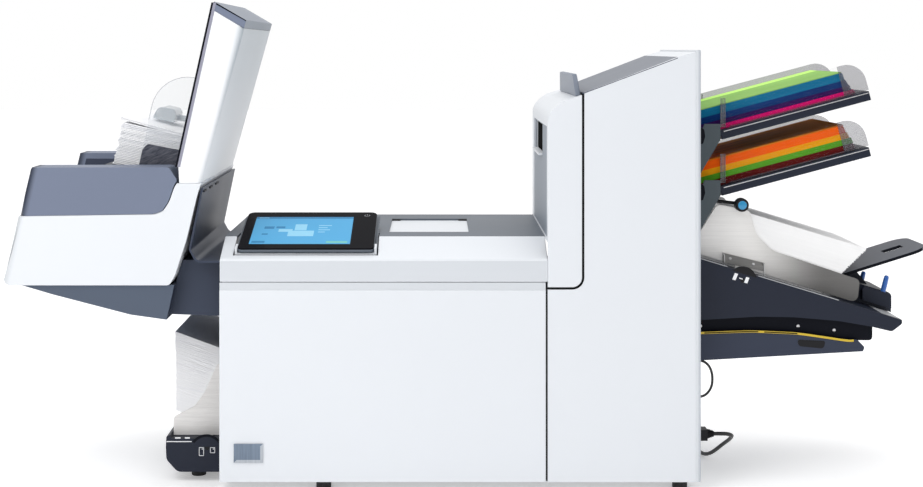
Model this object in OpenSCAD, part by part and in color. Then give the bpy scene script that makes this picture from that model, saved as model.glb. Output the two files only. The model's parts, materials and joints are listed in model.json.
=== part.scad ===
// Desktop folder inserter: folds sheets from three trays and puts them in envelopes.
// X runs to the right, Y runs to the back and Z runs up from the desk. Millimetres.

/* [Body] */
// Width of the main body, from its left end to the tower
body_w = 519; // [480:1:560]
// Depth of the machine, front to back
depth = 400; // [396:1:440]
// Height of the feet
foot_h = 16; // [10:1:24]
// Height of the seam between the front panel and the cover
seam_h = 331; // [322:1:336]
// Rise of the cover's flat top above the top of its front band
top_h = 29; // [26:1:42]
// Thickness of the moulded panels
skin = 3; // [2:0.5:4]

/* [Cover] */
// Height of the upright front band of the cover, measured from the seam
band_h = 37; // [30:1:42]
// Depth of the sloping front of the cover
bevel_d = 67; // [60:1:75]
// Width of the pale insert in the flat top
insert_w = 133; // [100:1:150]
// Length of the pale insert, front to back
insert_l = 199; // [150:1:220]
// Radius of the cover hinge pin
hinge_r = 3; // [2:0.5:3.5]

/* [Display] */
// Width of the touch display
display_w = 218; // [190:1:225]
// Length of the touch display along its slope
display_l = 162; // [140:1:175]
// Thickness of the touch display
display_t = 8; // [6:0.5:10]
// Slope of the touch display at rest
display_slope = 14.6; // [13:0.1:16]

/* [Tower] */
// Width of the tower, with its right side frame
tower_w = 242; // [225:1:270]
// Height of the tower at its right side
tower_h = 696; // [690:1:720]
// Slope of the tower's top
tower_slope = 21; // [18:0.5:22]
// Width of the door in the tower's front
door_w = 54; // [48:1:56]
// Gap round the door
door_gap = 4; // [4:0.5:6]
// Height of the grip paddle above the door
grip_h = 34; // [25:1:45]

/* [Sheet trays] */
// Height of the upper tray's deck above the lower tray's deck
upper_tray_h = 91.5; // [88:0.5:94]
// Drop from the lower tray's deck to the main feeder's deck
tray_drop = 117; // [114:0.5:122]
// Length of a tray's deck along X
tray_l = 243; // [220:1:260]
// Slope of the sheet trays
tray_slope = 14.9; // [14:0.1:16]
// Thickness of a tray's deck
tray_t = 15; // [10:1:16]
// Height of the tray side guides
guide_h = 50; // [40:1:52]
// Length of a sheet
sheet_l = 297; // [279:1:297]
// Width of a sheet
sheet_w = 210; // [203:1:216]
// Thickness of the pile in the upper tray
upper_pile = 40; // [10:1:42]
// Thickness of the pile in the lower tray
lower_pile = 45; // [10:1:46]

/* [Main feeder] */
// Height of the main feeder's deck at the tower
feeder_h = 361.5; // [356:0.5:364]
// Length of the main feeder's deck along X
feeder_l = 334; // [320:1:345]
// Slope of the main feeder's deck
feeder_slope = 16.8; // [16:0.1:17.2]
// Upright height of the pile on the main feeder
main_pile = 96; // [40:1:97]
// Length of the tail support along its slope
tail_l = 153; // [135:1:165]

/* [Stacker] */
// Lean of the envelope stacker's tower
lean = 12.5; // [11.5:0.1:13]
// Height of the underside of the stacker tub
tub_h = 327; // [322:1:330]
// Long side of an envelope
envelope_l = 229; // [220:1:229]
// Short side of an envelope
envelope_w = 114; // [105:1:114]
// Thickness of the pile in the stacker
stacked_pile = 80; // [20:1:100]
// Height of the stacker's tower along its lean
stack_tower_h = 295; // [270:1:310]

/* [Envelope feeder] */
// Height of the envelope feeder's table
hopper_h = 70; // [66:1:76]
// Upright height of the pile in the envelope feeder
hopper_pile = 129; // [60:1:132]

/* [Rollers and screws] */
// Radius of the sheet feed rollers
roller_r = 14; // [11:0.5:15]
// Radius of the fold rollers
fold_r = 22; // [18:0.5:26]
// Radius of the roller journals
journal_r = 6; // [4:0.5:8]
// Radius of the guide screws
screw_r = 4; // [3:0.5:4.5]
// Radial running clearance of shafts and pins
fit = 0.05; // [0.02:0.01:0.08]
// Clearance between pieces that slide past each other
slide = 0.3; // [0.2:0.05:0.5]

/* [Mains lead] */
// Diameter of the mains lead
lead_d = 6.4; // [6:0.1:7]
// Diameter of the link cable
link_d = 4; // [3.5:0.1:5]

/* [Hidden] */
$fn = 48;
arc_steps = 6;
panel_white = "#e9e9e6";
panel_grey = "#b9babb";
dark_grey = "#3c3e40";
black = "#1c1d1f";
steel = "#b4b8bb";
paper_white = "#f4f3ef";
clear_grey = "#8f989c";

// Main planes
body_l = -body_w;
tower_r = tower_w;
back = depth - skin;
mid_y = depth / 2;
plate_t = 4;
base_z = foot_h + plate_t;
knee_z = seam_h + band_h;
top_z = knee_z + top_h;
lower_tray_z = feeder_h + tray_drop;
upper_tray_z = lower_tray_z + upper_tray_h;
frame_y = 8;
frame_in = frame_y + plate_t;

// The right hand reach is the tip of the tail support, the left hand reach is the tub's round corner
tub_w = 343;
tub_round = 10;
tail_x = tower_r + 255;
tail_t = 5;
tail_rise = 17.4;
tail_tip = tail_x + tail_l * cos(tail_rise) + tail_t * sin(tail_rise);
reach_l = body_l - tub_w + tub_round / tan((90 - lean) / 2) - tub_round;
reach_mid = (reach_l + tail_tip) / 2;

// Helpers

// Unit vector along v
function unit(v) = v / norm(v);

// Points of a rounded corner at p, between the corners a and b
function corner(p, a, b, r) =
    let (u = unit(a - p), v = unit(b - p), half = acos(u * v) / 2,
         c = p + unit(u + v) * r / sin(half),
         s = p + u * r / tan(half) - c,
         e = p + v * r / tan(half) - c,
         from = atan2(s.y, s.x), raw = atan2(e.y, e.x) - from,
         turn = raw > 180 ? raw - 360 : raw < -180 ? raw + 360 : raw)
    [for (i = [0 : arc_steps]) c + r * [cos(from + turn * i / arc_steps), sin(from + turn * i / arc_steps)]];

// Outline whose corners [x, y, radius] are rounded where they give a radius
function outline(corners) =
    let (n = len(corners), flat = [for (c = corners) [c[0], c[1]]])
    [for (i = [0 : n - 1])
        each len(corners[i]) > 2
            ? corner(flat[i], flat[(i + n - 1) % n], flat[(i + 1) % n], corners[i][2])
            : [flat[i]]];

// Outline in X and Z, extruded from y0 to y1
module slab(corners, y0, y1) {
    translate([0, y1, 0])
        rotate([90, 0, 0])
            linear_extrude(y1 - y0)
                polygon(outline(corners));
}

// Outline in Y and Z, extruded from x0 to x1
module beam(corners, x0, x1) {
    translate([x0, 0, 0])
        rotate([90, 0, 90])
            linear_extrude(x1 - x0)
                polygon(outline(corners));
}

// Box between two opposite corners
module block(low, high) {
    translate(low)
        cube(high - low);
}

// Cylinder along Y
module rod_y(x, z, r, y0, y1) {
    translate([x, y0, z])
        rotate([-90, 0, 0])
            cylinder(r = r, h = y1 - y0);
}

// Cylinder along X
module rod_x(y, z, r, x0, x1) {
    translate([x0, y, z])
        rotate([0, 90, 0])
            cylinder(r = r, h = x1 - x0);
}

// A piece and its mirror image about the machine's middle plane
module both_sides() {
    children();
    translate([0, depth, 0])
        mirror([0, 1, 0])
            children();
}

// Roller along Y: a covered barrel on a shaft that runs in both frame plates
module roller(x, z, r, y0, y1, shaft_r, s0, s1) {
    rod_y(x, z, r, y0, y1);
    rod_y(x, z, shaft_r, s0, s1);
}

// Pile of flat sheets with sharp edges
module pile(corners, width) {
    slab(corners, mid_y - width / 2, mid_y + width / 2);
}

// Tube of round section swept along a path, with flat ends
function heading(path, i) =
    unit(path[min(i + 1, len(path) - 1)] - path[max(i - 1, 0)]);
function ring(path, i, r, sides, up) =
    let (t = heading(path, i), s = unit(cross(t, up)), u = cross(s, t))
    [for (k = [0 : sides - 1]) path[i] + r * (cos(360 * k / sides) * s + sin(360 * k / sides) * u)];
module tube(path, r, sides, up = [0, 0, 1]) {
    n = len(path);
    points = [for (i = [0 : n - 1]) each ring(path, i, r, sides, up)];
    walls = [for (i = [0 : n - 2], k = [0 : sides - 1])
        let (a = i * sides + k, b = i * sides + (k + 1) % sides)
        each [[a, a + sides, b], [b, a + sides, b + sides]]];
    first = [for (k = [1 : sides - 2]) [0, k, k + 1]];
    last = [for (k = [1 : sides - 2]) [(n - 1) * sides, (n - 1) * sides + k + 1, (n - 1) * sides + k]];
    polyhedron(points, concat(walls, first, last));
}

// Body

fold_x = body_l + 219;
fold_z = 250;
nip = 0.6;
fold_lower_z = fold_z - 2 * fold_r - nip;
frame_h = 352;
boss_r = 6;
side_t = 8;
face_x = tower_r - side_t;
foot_r = 12;
hopper_half = envelope_l / 2 + 15;
hopper_slope = 20;
ramp_h = 39.6;
envelope_roller_r = 12;
envelope_feed_x = body_l + 20;
envelope_feed_z = hopper_z(20) - envelope_roller_r / cos(hopper_slope) - 0.8;

// Steel tray that everything stands on
module base_tray() color(dark_grey)
    block([body_l, skin, foot_h], [face_x, back, base_z]);

// Rubber feet under the body, the tower and the envelope feeder
module feet() color(black)
    both_sides()
        for (x = [body_l + 163, tower_r - 29, body_l - 48])
            translate([x, x < body_l ? hopper_y + 45 : 30, 0])
                cylinder(r = foot_r, h = foot_h);

// Front and rear steel plates that carry the fold rollers and the envelope roller, held apart by tie bars
module side_frames() color(steel) {
    difference() {
        both_sides()
            block([body_l + 8, frame_y, base_z], [-4, frame_in, frame_h]);
        for (p = [[fold_x, fold_z], [fold_x, fold_lower_z], [envelope_feed_x, envelope_feed_z]])
            rod_y(p.x, p.y, journal_r + fit, 0, depth);
    }
    for (x = [body_l + 60, -40], z = [60, 330])
        rod_y(x, z, 5, frame_in - 1, depth - frame_in + 1);
}

// White front panel on four bosses
module front_panel() color(panel_white) {
    block([body_l, 0, foot_h], [-0.5, skin, seam_h - 2]);
    for (x = [body_l + 30, -30], z = [50, 300])
        rod_y(x, z, boss_r, skin - 1, frame_y);
}

hinge_x = body_l + 10;
hinge_z = top_z - 9;
ear_r = 5;
ear_neck = ear_r - 0.6;
ear_y = 80;
ear_t = 8;
bracket_h = tub_h + 35;

// Left end wall, open at the envelope feeder, with the ears and the pin of the cover hinge
module end_plate() color(dark_grey) {
    difference() {
        block([body_l, skin, base_z], [body_l + plate_t, back, bracket_h]);
        block([body_l - 1, mid_y - hopper_half, hopper_h - 4],
              [body_l + plate_t + 1, mid_y + hopper_half, hopper_h + 176]);
    }
    both_sides() {
        slab([[body_l, bracket_h - 20], [body_l + 15, bracket_h - 5], [hinge_x + ear_neck, hinge_z],
              [hinge_x - ear_neck, hinge_z], [body_l, bracket_h]], ear_y, ear_y + ear_t);
        rod_y(hinge_x, hinge_z, ear_r, ear_y, ear_y + ear_t);
    }
    rod_y(hinge_x, hinge_z, hinge_r, ear_y - 2, depth - ear_y + 2);
}

// Back of the body and the tower, with vents
module rear_cover() color(panel_white) {
    difference() {
        slab([[body_l, foot_h], [face_x, foot_h], [face_x, tower_h - 1], [tower_r - 36, roof(tower_r - 36)],
              [door_w + door_gap, roof(door_w + door_gap)], [door_w + door_gap, seam_h - 11],
              [0, seam_h - 11], [0, bracket_h], [body_l, bracket_h]], back, depth);
        for (i = [0 : 11], x = [body_l + 120, body_l + 320])
            block([x + i * 9, back - 1, 120], [x + i * 9 + 3.5, depth + 1, 200]);
    }
    for (p = [[body_l + 30, 50], [body_l + 30, 300], [-30, 50], [-30, 300], [100, 60], [100, roof(100) - boss_drop]])
        rod_y(p.x, p.y, boss_r, depth - frame_y, back + 1);
}

// Rubber covered fold rollers
module fold_roller_upper() color(black)
    roller(fold_x, fold_z, fold_r, frame_in + 8, depth - frame_in - 8, journal_r, 5, depth - 5);
module fold_roller_lower() color(black)
    roller(fold_x, fold_lower_z, fold_r, frame_in + 8, depth - frame_in - 8, journal_r, 5, depth - 5);

// Two slanting pockets in which a sheet stops while it is folded
module fold_plates() color(steel) {
    slab([[fold_x + 34, fold_z - 18], [fold_x + 154, fold_z + 66], [fold_x + 152, fold_z + 69],
          [fold_x + 32, fold_z - 15]], frame_in, depth - frame_in);
    slab([[fold_x - 34, fold_lower_z + 18], [fold_x - 150, fold_lower_z - 80], [fold_x - 152, fold_lower_z - 78],
          [fold_x - 36, fold_lower_z + 20]], frame_in, depth - frame_in);
}

// Motor that drives the rollers, on the rear frame plate
module drive_motor() color(black) {
    rod_y(-90, 120, 32, depth - 100, depth - frame_in);
    rod_y(-90, 120, 5, depth - 125, depth - 99);
}

// Electronics: a control board on standoffs, and the boxed power supply in the foot of the tower
module electronics() color("#2f6b46") {
    block([body_l + 70, mid_y - 120, base_z + 6], [body_l + 260, mid_y + 120, base_z + 8]);
    for (x = [body_l + 80, body_l + 250], y = [mid_y - 110, mid_y + 110])
        translate([x, y, base_z])
            cylinder(r = 4, h = 7);
    for (i = [0 : 3])
        block([body_l + 90 + i * 40, mid_y - 50, base_z + 7], [body_l + 114 + i * 40, mid_y - 20, base_z + 12]);
    block([70, depth - 160, base_z], [200, depth - 20, base_z + 60]);
}

// Cover

band_z = seam_h + 1.5;
cover_back = depth - 4;
insert_x = -122 - insert_w;
insert_y = 124;
display_x = body_l + 26;
display_y = 20;
display_z = knee_z + 9.5;
cradle_t = 3;
cradle_gap = 1.5;
cheek = 4;
stub_r = 2;
stub_y = 4;

// Opening in the cover for the display's cradle
module display_opening() {
    block([display_x - cheek - 2, 12, knee_z - 10],
          [display_x + display_w + cheek + 2, 106, top_z + 10]);
}

// White upright band and sloping front of the cover
module cover_front() color(panel_white)
    difference() {
        beam([[0, band_z], [0, knee_z, 6], [bevel_d, top_z], [bevel_d, top_z - skin],
              [skin, knee_z - 2, 3], [skin, band_z]], body_l + 0.5, 0);
        display_opening();
    }

// Frame of the display: y along its slope, z square to its glass
module on_display() {
    translate([display_x, display_y, display_z])
        rotate([display_slope, 0, 0])
            children();
}

// Cradle under the display, with the two cheeks that hold its pivots
module display_cradle() {
    heel_y = display_y + (top_z - display_z + (cradle_gap + cradle_t) / cos(display_slope)) / tan(display_slope);
    end_y = display_y + display_l * cos(display_slope);
    on_display() {
        block([-cheek, -5, -cradle_gap - cradle_t], [display_w + cheek, display_l, -cradle_gap]);
        difference() {
            for (x = [slide - cheek, display_w + slide])
                block([x, -4, -cradle_gap - 1], [x + cheek - 2 * slide, 16, display_t - 1]);
            rod_x(stub_y, display_t / 2, stub_r + fit, -cheek - 1, display_w + cheek + 1);
        }
    }
    lap = 0.5;
    toe_y = heel_y - 3;
    beam([[toe_y, top_z - 2 * lap], [end_y, top_z - 2 * lap],
          [end_y, top_z + (end_y - heel_y) * tan(display_slope) + lap],
          [toe_y, top_z + (toe_y - heel_y) * tan(display_slope) + lap]], display_x, display_x + display_w);
}

// Dark flat top of the cover, with the display's cradle, its rear skirt and hinge knuckles
module cover_panel() color(dark_grey) {
    display_cradle();
    difference() {
        block([body_l + 0.5, bevel_d, top_z - skin], [0, cover_back, top_z]);
        block([insert_x, insert_y, top_z - skin - 1], [insert_x + insert_w, insert_y + insert_l, top_z + 1]);
        display_opening();
    }
    block([body_l + 25, cover_back - skin, seam_h + 35], [0, cover_back, top_z - 1]);
    difference() {
        both_sides() {
            block([hinge_x - ear_neck, ear_y + 10, hinge_z], [hinge_x + ear_neck, ear_y + 30, top_z - 1]);
            rod_y(hinge_x, hinge_z, ear_r, ear_y + 10, ear_y + 30);
        }
        rod_y(hinge_x, hinge_z, hinge_r + fit, 0, depth);
    }
}

// Pale plate that closes the opening in the flat top from below
module top_insert() color(panel_white)
    block([insert_x - 6, insert_y - 6, top_z - 2 * skin],
          [insert_x + insert_w + 6, insert_y + insert_l + 6, top_z - skin]);

// Touch display: a glass slab with two stub pivots near its front edge
module display() color(black)
    on_display() {
        linear_extrude(display_t)
            polygon(outline([[0, -1, 8], [display_w, -1, 8], [display_w, display_l - 2, 12], [0, display_l - 2, 12]]));
        for (x = [slide - cheek, display_w - 1])
            rod_x(stub_y, display_t / 2, stub_r, x, x + cheek + 1 - slide);
    }

// Tower

notch_z = seam_h - 11;
door_z = notch_z + door_gap;

// Height of the tower's sloping top at x
function roof(x) = tower_h - 8 - (tower_r - 36 - x) * tan(tower_slope);

// Drop below the roof of the tower's highest bosses and ties
boss_drop = 87;
tie_drop = 38;
door_top = roof(door_w + door_gap) - door_gap;
door_round = [[22, door_top - 10, 36], [0, door_top - 30, 30]];
door_t = 4;
inner_round = [[24, door_top - 13.5, 32], [door_t, door_top - 31.8, 26]];
face_y = 20;
face_z = top_z + 3;
face_top = door_top - 41;
window_z = door_top - 104;
window_y = [mid_y - 69, mid_y + 99];

// Window in the left face of the door
module door_window(x0, x1) {
    block([x0, window_y[0], window_z], [x1, window_y[1], window_z + 52]);
}

// White shell of the door: left wall, rounded top, front and back
module door_shell() color(panel_white) {
    difference() {
        slab([[0, top_z - skin], [door_t, top_z - skin], inner_round[1], inner_round[0],
              [door_w, door_top - 4.2], [door_w, door_top], door_round[0], door_round[1]], 0, cover_back);
        block([-1, face_y, face_z], [2, cover_back - 11, face_top]);
        door_window(-1, door_t + 1);
    }
    slab([[0, door_z], [door_w, door_z, 15], [door_w, door_top], door_round[0], door_round[1]], 0, skin);
    slab([[0, door_z + 42], [door_w, door_z + 42, 15], [door_w, door_top], door_round[0], door_round[1]],
         cover_back - skin, cover_back);
    block([-6, window_y[0] + slide, window_z + slide], [door_t, window_y[1] - slide, window_z + 4]);
    block([2.2, window_y[0], window_z - 2], [door_t, window_y[1], window_z + 3]);
}

// Grey panel let into the door's left wall
module door_face() color(panel_grey)
    difference() {
        block([0.6, face_y + slide, face_z + slide], [2, cover_back - 11 - slide, face_top - slide]);
        door_window(0, 3);
    }

// Grey paddle along the top of the door, by which the cover is lifted
module grip_paddle() color(panel_grey)
    intersection() {
        slab([[46, door_top - 2.5], [54, door_top], [47, door_top + grip_h], [40, door_top + grip_h - 1]],
             0, cover_back);
        beam([[0, door_top - 3], [cover_back, door_top - 3], [cover_back - 32, door_top + grip_h + 1, 14],
              [32, door_top + grip_h + 1, 14]], 0, door_w + 1);
    }

// White front of the tower, cut away for the door
module tower_front_panel() color(panel_white) {
    slab([[0, foot_h], [face_x, foot_h], [face_x, tower_h], [tower_r - 36, roof(tower_r - 36)],
          [door_w + door_gap, roof(door_w + door_gap)], [door_w + door_gap, notch_z, 15 + door_gap], [0, notch_z]],
         0, skin);
    for (p = [[100, 60], [210, 100], [100, roof(100) - boss_drop], [200, roof(200) - boss_drop]])
        rod_y(p.x, p.y, boss_r, skin - 1, frame_y);
}

// Grey panel along the tower's sloping top
module tower_top_panel() color(panel_grey)
    slab([[door_w + door_gap, roof(door_w + door_gap)], [tower_r - 36, roof(tower_r - 36)], [face_x, tower_h],
          [face_x, tower_h - skin], [tower_r - 36, roof(tower_r - 36) - skin],
          [door_w + door_gap, roof(door_w + door_gap) - skin]], skin, back);

// Places of the sheet feed rollers
feed_x = tower_r - 22;
upper_feed_z = upper_tray_z - 75 * tan(tray_slope) + upper_pile / cos(tray_slope) + roller_r + 0.8;
lower_feed_z = lower_tray_z - 75 * tan(tray_slope) + lower_pile / cos(tray_slope) + roller_r + 0.8;
main_feed_x = tower_r - 55;
main_feed_z = deck_z(-55) - roller_r / cos(feeder_slope) - 0.6;

// Steel plates inside the tower that carry the feed rollers
module tower_frame() color(steel) {
    difference() {
        both_sides()
            slab([[62, base_z], [face_x - 2, base_z], [face_x - 2, roof(tower_r - 36) - 20],
                  [tower_r - 36, roof(tower_r - 36) - 20], [62, roof(62) - 20]], frame_y, frame_in);
        for (p = [[feed_x, upper_feed_z], [feed_x, lower_feed_z], [main_feed_x, main_feed_z]])
            rod_y(p.x, p.y, journal_r + fit, 0, depth);
    }
    for (p = [[80, 120], [215, 200], [80, roof(80) - boss_drop], [180, roof(180) - tie_drop]])
        rod_y(p.x, p.y, 5, frame_in - 1, depth - frame_in + 1);
}

// Right side frame of the tower, open where the piles of sheets go in, with the frame of the mains inlet
inlet_y = [88, 112];
inlet_z = [59, 77];
module tower_side_frame() color(panel_grey) {
    half = sheet_w / 2 + 7;
    difference() {
        union() {
            block([face_x, 0, foot_h], [tower_r, depth, tower_h + 3]);
            block([tower_r - 1, inlet_y[0] - 8, inlet_z[0] - 19], [tower_r + 4, inlet_y[1] + 13, inlet_z[1] + 19]);
        }
        block([tower_r, inlet_y[0] - slide, inlet_z[0] - slide], [tower_r + 5, inlet_y[1] + slide, inlet_z[1] + slide]);
        block([face_x - 1, mid_y - half, feeder_h - 12],
              [tower_r + 1, mid_y + half, lower_tray_z + 42]);
        block([face_x - 1, mid_y - half, upper_tray_z - 32], [tower_r + 1, mid_y + half, upper_tray_z + 36]);
    }
}

// Sheet feed rollers
module upper_feed_roller() color(black)
    roller(feed_x, upper_feed_z, roller_r, mid_y - 60, mid_y + 60, journal_r, 5, depth - 5);
module lower_feed_roller() color(black)
    roller(feed_x, lower_feed_z, roller_r, mid_y - 60, mid_y + 60, journal_r, 5, depth - 5);
module main_feed_roller() color(black)
    roller(main_feed_x, main_feed_z, roller_r, mid_y - 60, mid_y + 60, journal_r, 5, depth - 5);

// Sheet trays

tray_x = tower_r + 53;
tray_y = mid_y - 125;
deck_end = (tray_l - 10) / cos(tray_slope);
sheet_end = 208;
guide_t = 2.5;
guide_y = mid_y - sheet_w / 2 - 0.5 - guide_t;

// Frame of a tray's deck: x up its slope, z square to its deck
module on_tray(h) {
    translate([tray_x, 0, h])
        rotate([0, -tray_slope, 0])
            children();
}

// Tray: a deck and the two bracket plates that hook on the tower
module tray(h) color(dark_grey) {
    on_tray(h)
        block([-10, tray_y, -tray_t], [deck_end, depth - tray_y, 0]);
    translate([tower_r, 0, h])
        both_sides() {
            slab([[0, -75], [10, -75], [44, -17], [44, 8.4, 2], [18, 8.4, 2], [14, -2], [0, -24]],
                 tray_y + 1 - plate_t, tray_y + 1);
            slab([[30, -14], [62, -9], [62, -3], [30, -8]], tray_y - 1, tray_y + 8);
        }
}
module upper_tray() tray(upper_tray_z);
module lower_tray() tray(lower_tray_z);

// Pile of sheets on a tray
module tray_pile(h, t)
    on_tray(h)
        block([sheet_end - sheet_l, mid_y - sheet_w / 2, 0], [sheet_end, mid_y + sheet_w / 2, t]);

// Clear side guide on the front side of a tray, with the foot it slides on
module tray_guide(h) color(clear_grey)
    on_tray(h) {
        slab([[2, slide], [deck_end - 2, slide], [deck_end - 2, guide_h, 32], [2, guide_h, 3]],
             guide_y, guide_y + guide_t);
        block([10, guide_y - 6, slide], [deck_end - 12, guide_y + 1, slide + 2]);
    }
module to_rear() {
    translate([0, depth, 0])
        mirror([0, 1, 0])
            children();
}
module upper_front_guide() tray_guide(upper_tray_z);
module upper_rear_guide() to_rear() tray_guide(upper_tray_z);
module lower_front_guide() tray_guide(lower_tray_z);
module lower_rear_guide() to_rear() tray_guide(lower_tray_z);

// Main feeder, measured from the tower's right side

// Height of the feeder's deck at a distance v from the tower
function deck_z(v) = feeder_h - (v - 7) * tan(feeder_slope);

deck_y = mid_y - 145;
deck_t = 4;
arm_y = deck_y + 10;
arm_t = 15;
arm_top = feeder_h - 61.5;
arm_low = feeder_h - 133.5;
screw_v = 77;
screw_z = feeder_h - 35;
wheel_r = 20.5;
wheel_t = 9;
wheel_gap = 0.4;
wheel_room = 1;
wheel_hump = 2.1;
wheel_recess = 0.5;
wheel_y = deck_y + deck_t + wheel_gap;
nut = 8;
lower_pin_v = 14;
lower_pin_z = feeder_h - 148.5;
lower_pin_r = 3;

module at_tower() {
    translate([tower_r, 0, 0])
        children();
}

// Deck of the main feeder: two cheeks, a sloping plate slotted for the guides, and cross ribs
module feeder_deck() color(dark_grey)
    at_tower()
        difference() {
            union() {
                both_sides() {
                    slab([[0, deck_z(0)], [feeder_l + 6, deck_z(feeder_l + 6), 5], [feeder_l - 16, feeder_h - 117.5, 8],
                          [feeder_l - 50, feeder_h - 109.5, 60], [feeder_l - 102, feeder_h - 100.5, 120],
                          [160, feeder_h - 94.5, 120], [100, feeder_h - 93.5, 120], [0, feeder_h - 99.5]],
                         deck_y, deck_y + deck_t);
                    rod_y(screw_v, screw_z, wheel_r + wheel_hump, deck_y, deck_y + deck_t);
                }
                slab([[0, deck_z(0)], [feeder_l, deck_z(feeder_l)], [feeder_l, deck_z(feeder_l) - deck_t],
                      [0, deck_z(0) - deck_t]], deck_y, depth - deck_y);
                for (v = [20, 100])
                    slab([[v, arm_top], [v + deck_t, arm_top], [v + deck_t, deck_z(v) - 2], [v, deck_z(v) - 2]],
                         deck_y + 1, depth - deck_y - 1);
            }
            rod_y(screw_v, screw_z, wheel_r + wheel_room, deck_y + deck_t - wheel_recess, wheel_y + wheel_t + wheel_gap);
            block([screw_v - nut - 1, deck_y + 7, screw_z], [screw_v + nut + 1, depth - deck_y - 7, feeder_h + 5]);
            rod_y(screw_v, screw_z, screw_r + fit, 0, depth);
        }

// Two beams that carry the deck, tied together, with the eyes of the lower cover's pivots
module feeder_arm() color(black)
    at_tower() {
        difference() {
            both_sides()
                slab([[0, arm_low], [4, arm_low], [4, lower_pin_z - 8], [24, lower_pin_z - 8, 6], [24, arm_low],
                      [289, arm_low, 6], [289, feeder_h - 103.5, 6], [110, arm_top], [0, arm_top]],
                     arm_y, arm_y + arm_t);
            rod_y(lower_pin_v, lower_pin_z, lower_pin_r + fit, 0, depth);
        }
        for (v = [60, 270])
            rod_y(v, arm_low + 12, 6, arm_y + 1, depth - arm_y - 1);
    }

// Height of the lower cover's bottom edge at a distance v from the tower
function lower_z(v) = feeder_h - 164.5 + (v - 5) * 15 / 266;

// Cover under the main feeder, which swings down on two stub pins
module lower_cover() color(panel_grey)
    at_tower() {
        both_sides() {
            slab([[5, lower_z(5)], [271, lower_z(271)], [274, feeder_h - 143, 4], [262, feeder_h - 130.5, 8],
                  [243, feeder_h - 130.5, 60], [165, feeder_h - 119, 200], [92, feeder_h - 115.7, 200],
                  [5, feeder_h - 118.5]], deck_y, deck_y + skin);
            rod_y(lower_pin_v, lower_pin_z, lower_pin_r, deck_y + 1, arm_y + arm_t - 1);
        }
        slab([[45, lower_z(45) + 0.5], [269, lower_z(269) + 0.5], [269, lower_z(269) + skin], [45, lower_z(45) + skin]],
             deck_y + 1, depth - deck_y - 1);
    }

// Screw that moves the two main guides, with its knurled wheel behind the front cheek
module main_guide_screw() color(black)
    at_tower() {
        rod_y(screw_v, screw_z, screw_r, deck_y, depth - deck_y + 5);
        rod_y(screw_v, screw_z, wheel_r, wheel_y, wheel_y + wheel_t);
        rod_y(screw_v, screw_z, screw_r + 3, depth - deck_y + 0.4, depth - deck_y + 5);
    }

knob_v = 80;
knob_z = feeder_h + 84.5;
knob_r = 11;
knob_pin = 3;

// Steel side guide with the nut that runs on the guide screw
module main_guide(lug) color(steel)
    at_tower() {
        difference() {
            union() {
                slab([[14, feeder_h + 2.5, 4], [14, feeder_h + 39.5, 20], [42, feeder_h + 84.5, 12],
                      [95, feeder_h + 74.5, 10], [106, feeder_h + 36, 30], [130, feeder_h + 6, 24],
                      [276, feeder_h - 39.5, 8], [272, feeder_h - 77.5, 10]], guide_y, guide_y + guide_t);
                slab([[screw_v - 6, screw_z], [screw_v + 6, screw_z], [screw_v + 6, feeder_h - 12],
                      [screw_v - 6, feeder_h - 12]], guide_y, guide_y + guide_t);
                block([screw_v - nut, guide_y, screw_z - nut], [screw_v + nut, guide_y + 14, screw_z + nut]);
                if (lug)
                    rod_y(knob_v, knob_z, 9, guide_y, guide_y + guide_t);
            }
            rod_y(screw_v, screw_z, screw_r + fit, 0, depth);
            if (lug)
                rod_y(knob_v, knob_z, knob_pin + fit, 0, depth);
        }
    }
module main_front_guide() main_guide(true);
module main_rear_guide() to_rear() main_guide(false);

// Separator knob on the front guide
module separator_knob() color(black)
    at_tower() {
        rod_y(knob_v, knob_z, knob_r, guide_y - 20, guide_y - slide);
        rod_y(knob_v, knob_z, knob_pin, guide_y - 1, guide_y + guide_t);
    }

// Piles of sheets in the two trays and on the main feeder, where the pile is pushed over into a slant
main_end = 213;
main_shear = 0.79 * main_pile;
main_start = main_end - sheet_l * cos(feeder_slope);
module sheet_piles() color(paper_white) {
    tray_pile(upper_tray_z, upper_pile);
    tray_pile(lower_tray_z, lower_pile);
    at_tower()
        pile([[main_start, deck_z(main_start)], [main_end, deck_z(main_end)],
              [main_end + main_shear, deck_z(main_end + main_shear) + main_pile],
              [main_start + main_shear, deck_z(main_start + main_shear) + main_pile]], sheet_w);
}

// Back stop that slides along the deck behind the pile
stop_v = [273, 341];
stop_h = 32;
stop_half = 60;
lever_v = 329;
lever_z = deck_z(lever_v) + 16;
lever_pin = 3;
tail_z = feeder_h - 35.5;
function tail_under(v) = tail_z - tail_t / cos(tail_rise) + (v - 255) * tan(tail_rise);
module back_stop() color(dark_grey)
    at_tower()
        difference() {
            union() {
                slab([[stop_v[0], deck_z(stop_v[0]) + slide], [stop_v[1], deck_z(stop_v[1]) + slide],
                      [stop_v[1], deck_z(stop_v[1]) + stop_h, 6], [stop_v[0], deck_z(stop_v[0]) + stop_h, 6]],
                     mid_y - stop_half, mid_y + stop_half);
                slab([[288, deck_z(288) + 20], [312, deck_z(312) + 20], [312, tail_under(312)], [288, tail_under(288)]],
                     mid_y - 20, mid_y + 20);
            }
            rod_y(lever_v, lever_z, lever_pin + fit, 0, depth);
        }

// Blue release lever: a cross pin with a finger at each end
module release_lever() color("#2f5fa8")
    at_tower() {
        reach = stop_half + 9;
        rod_y(lever_v, lever_z, lever_pin, mid_y - reach, mid_y + reach);
        for (side = [-1, 1])
            translate([lever_v, mid_y + side * (stop_half + 5), lever_z])
                rotate([0, 14, 0])
                    cylinder(r = 4.4, h = 44);
    }

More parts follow.
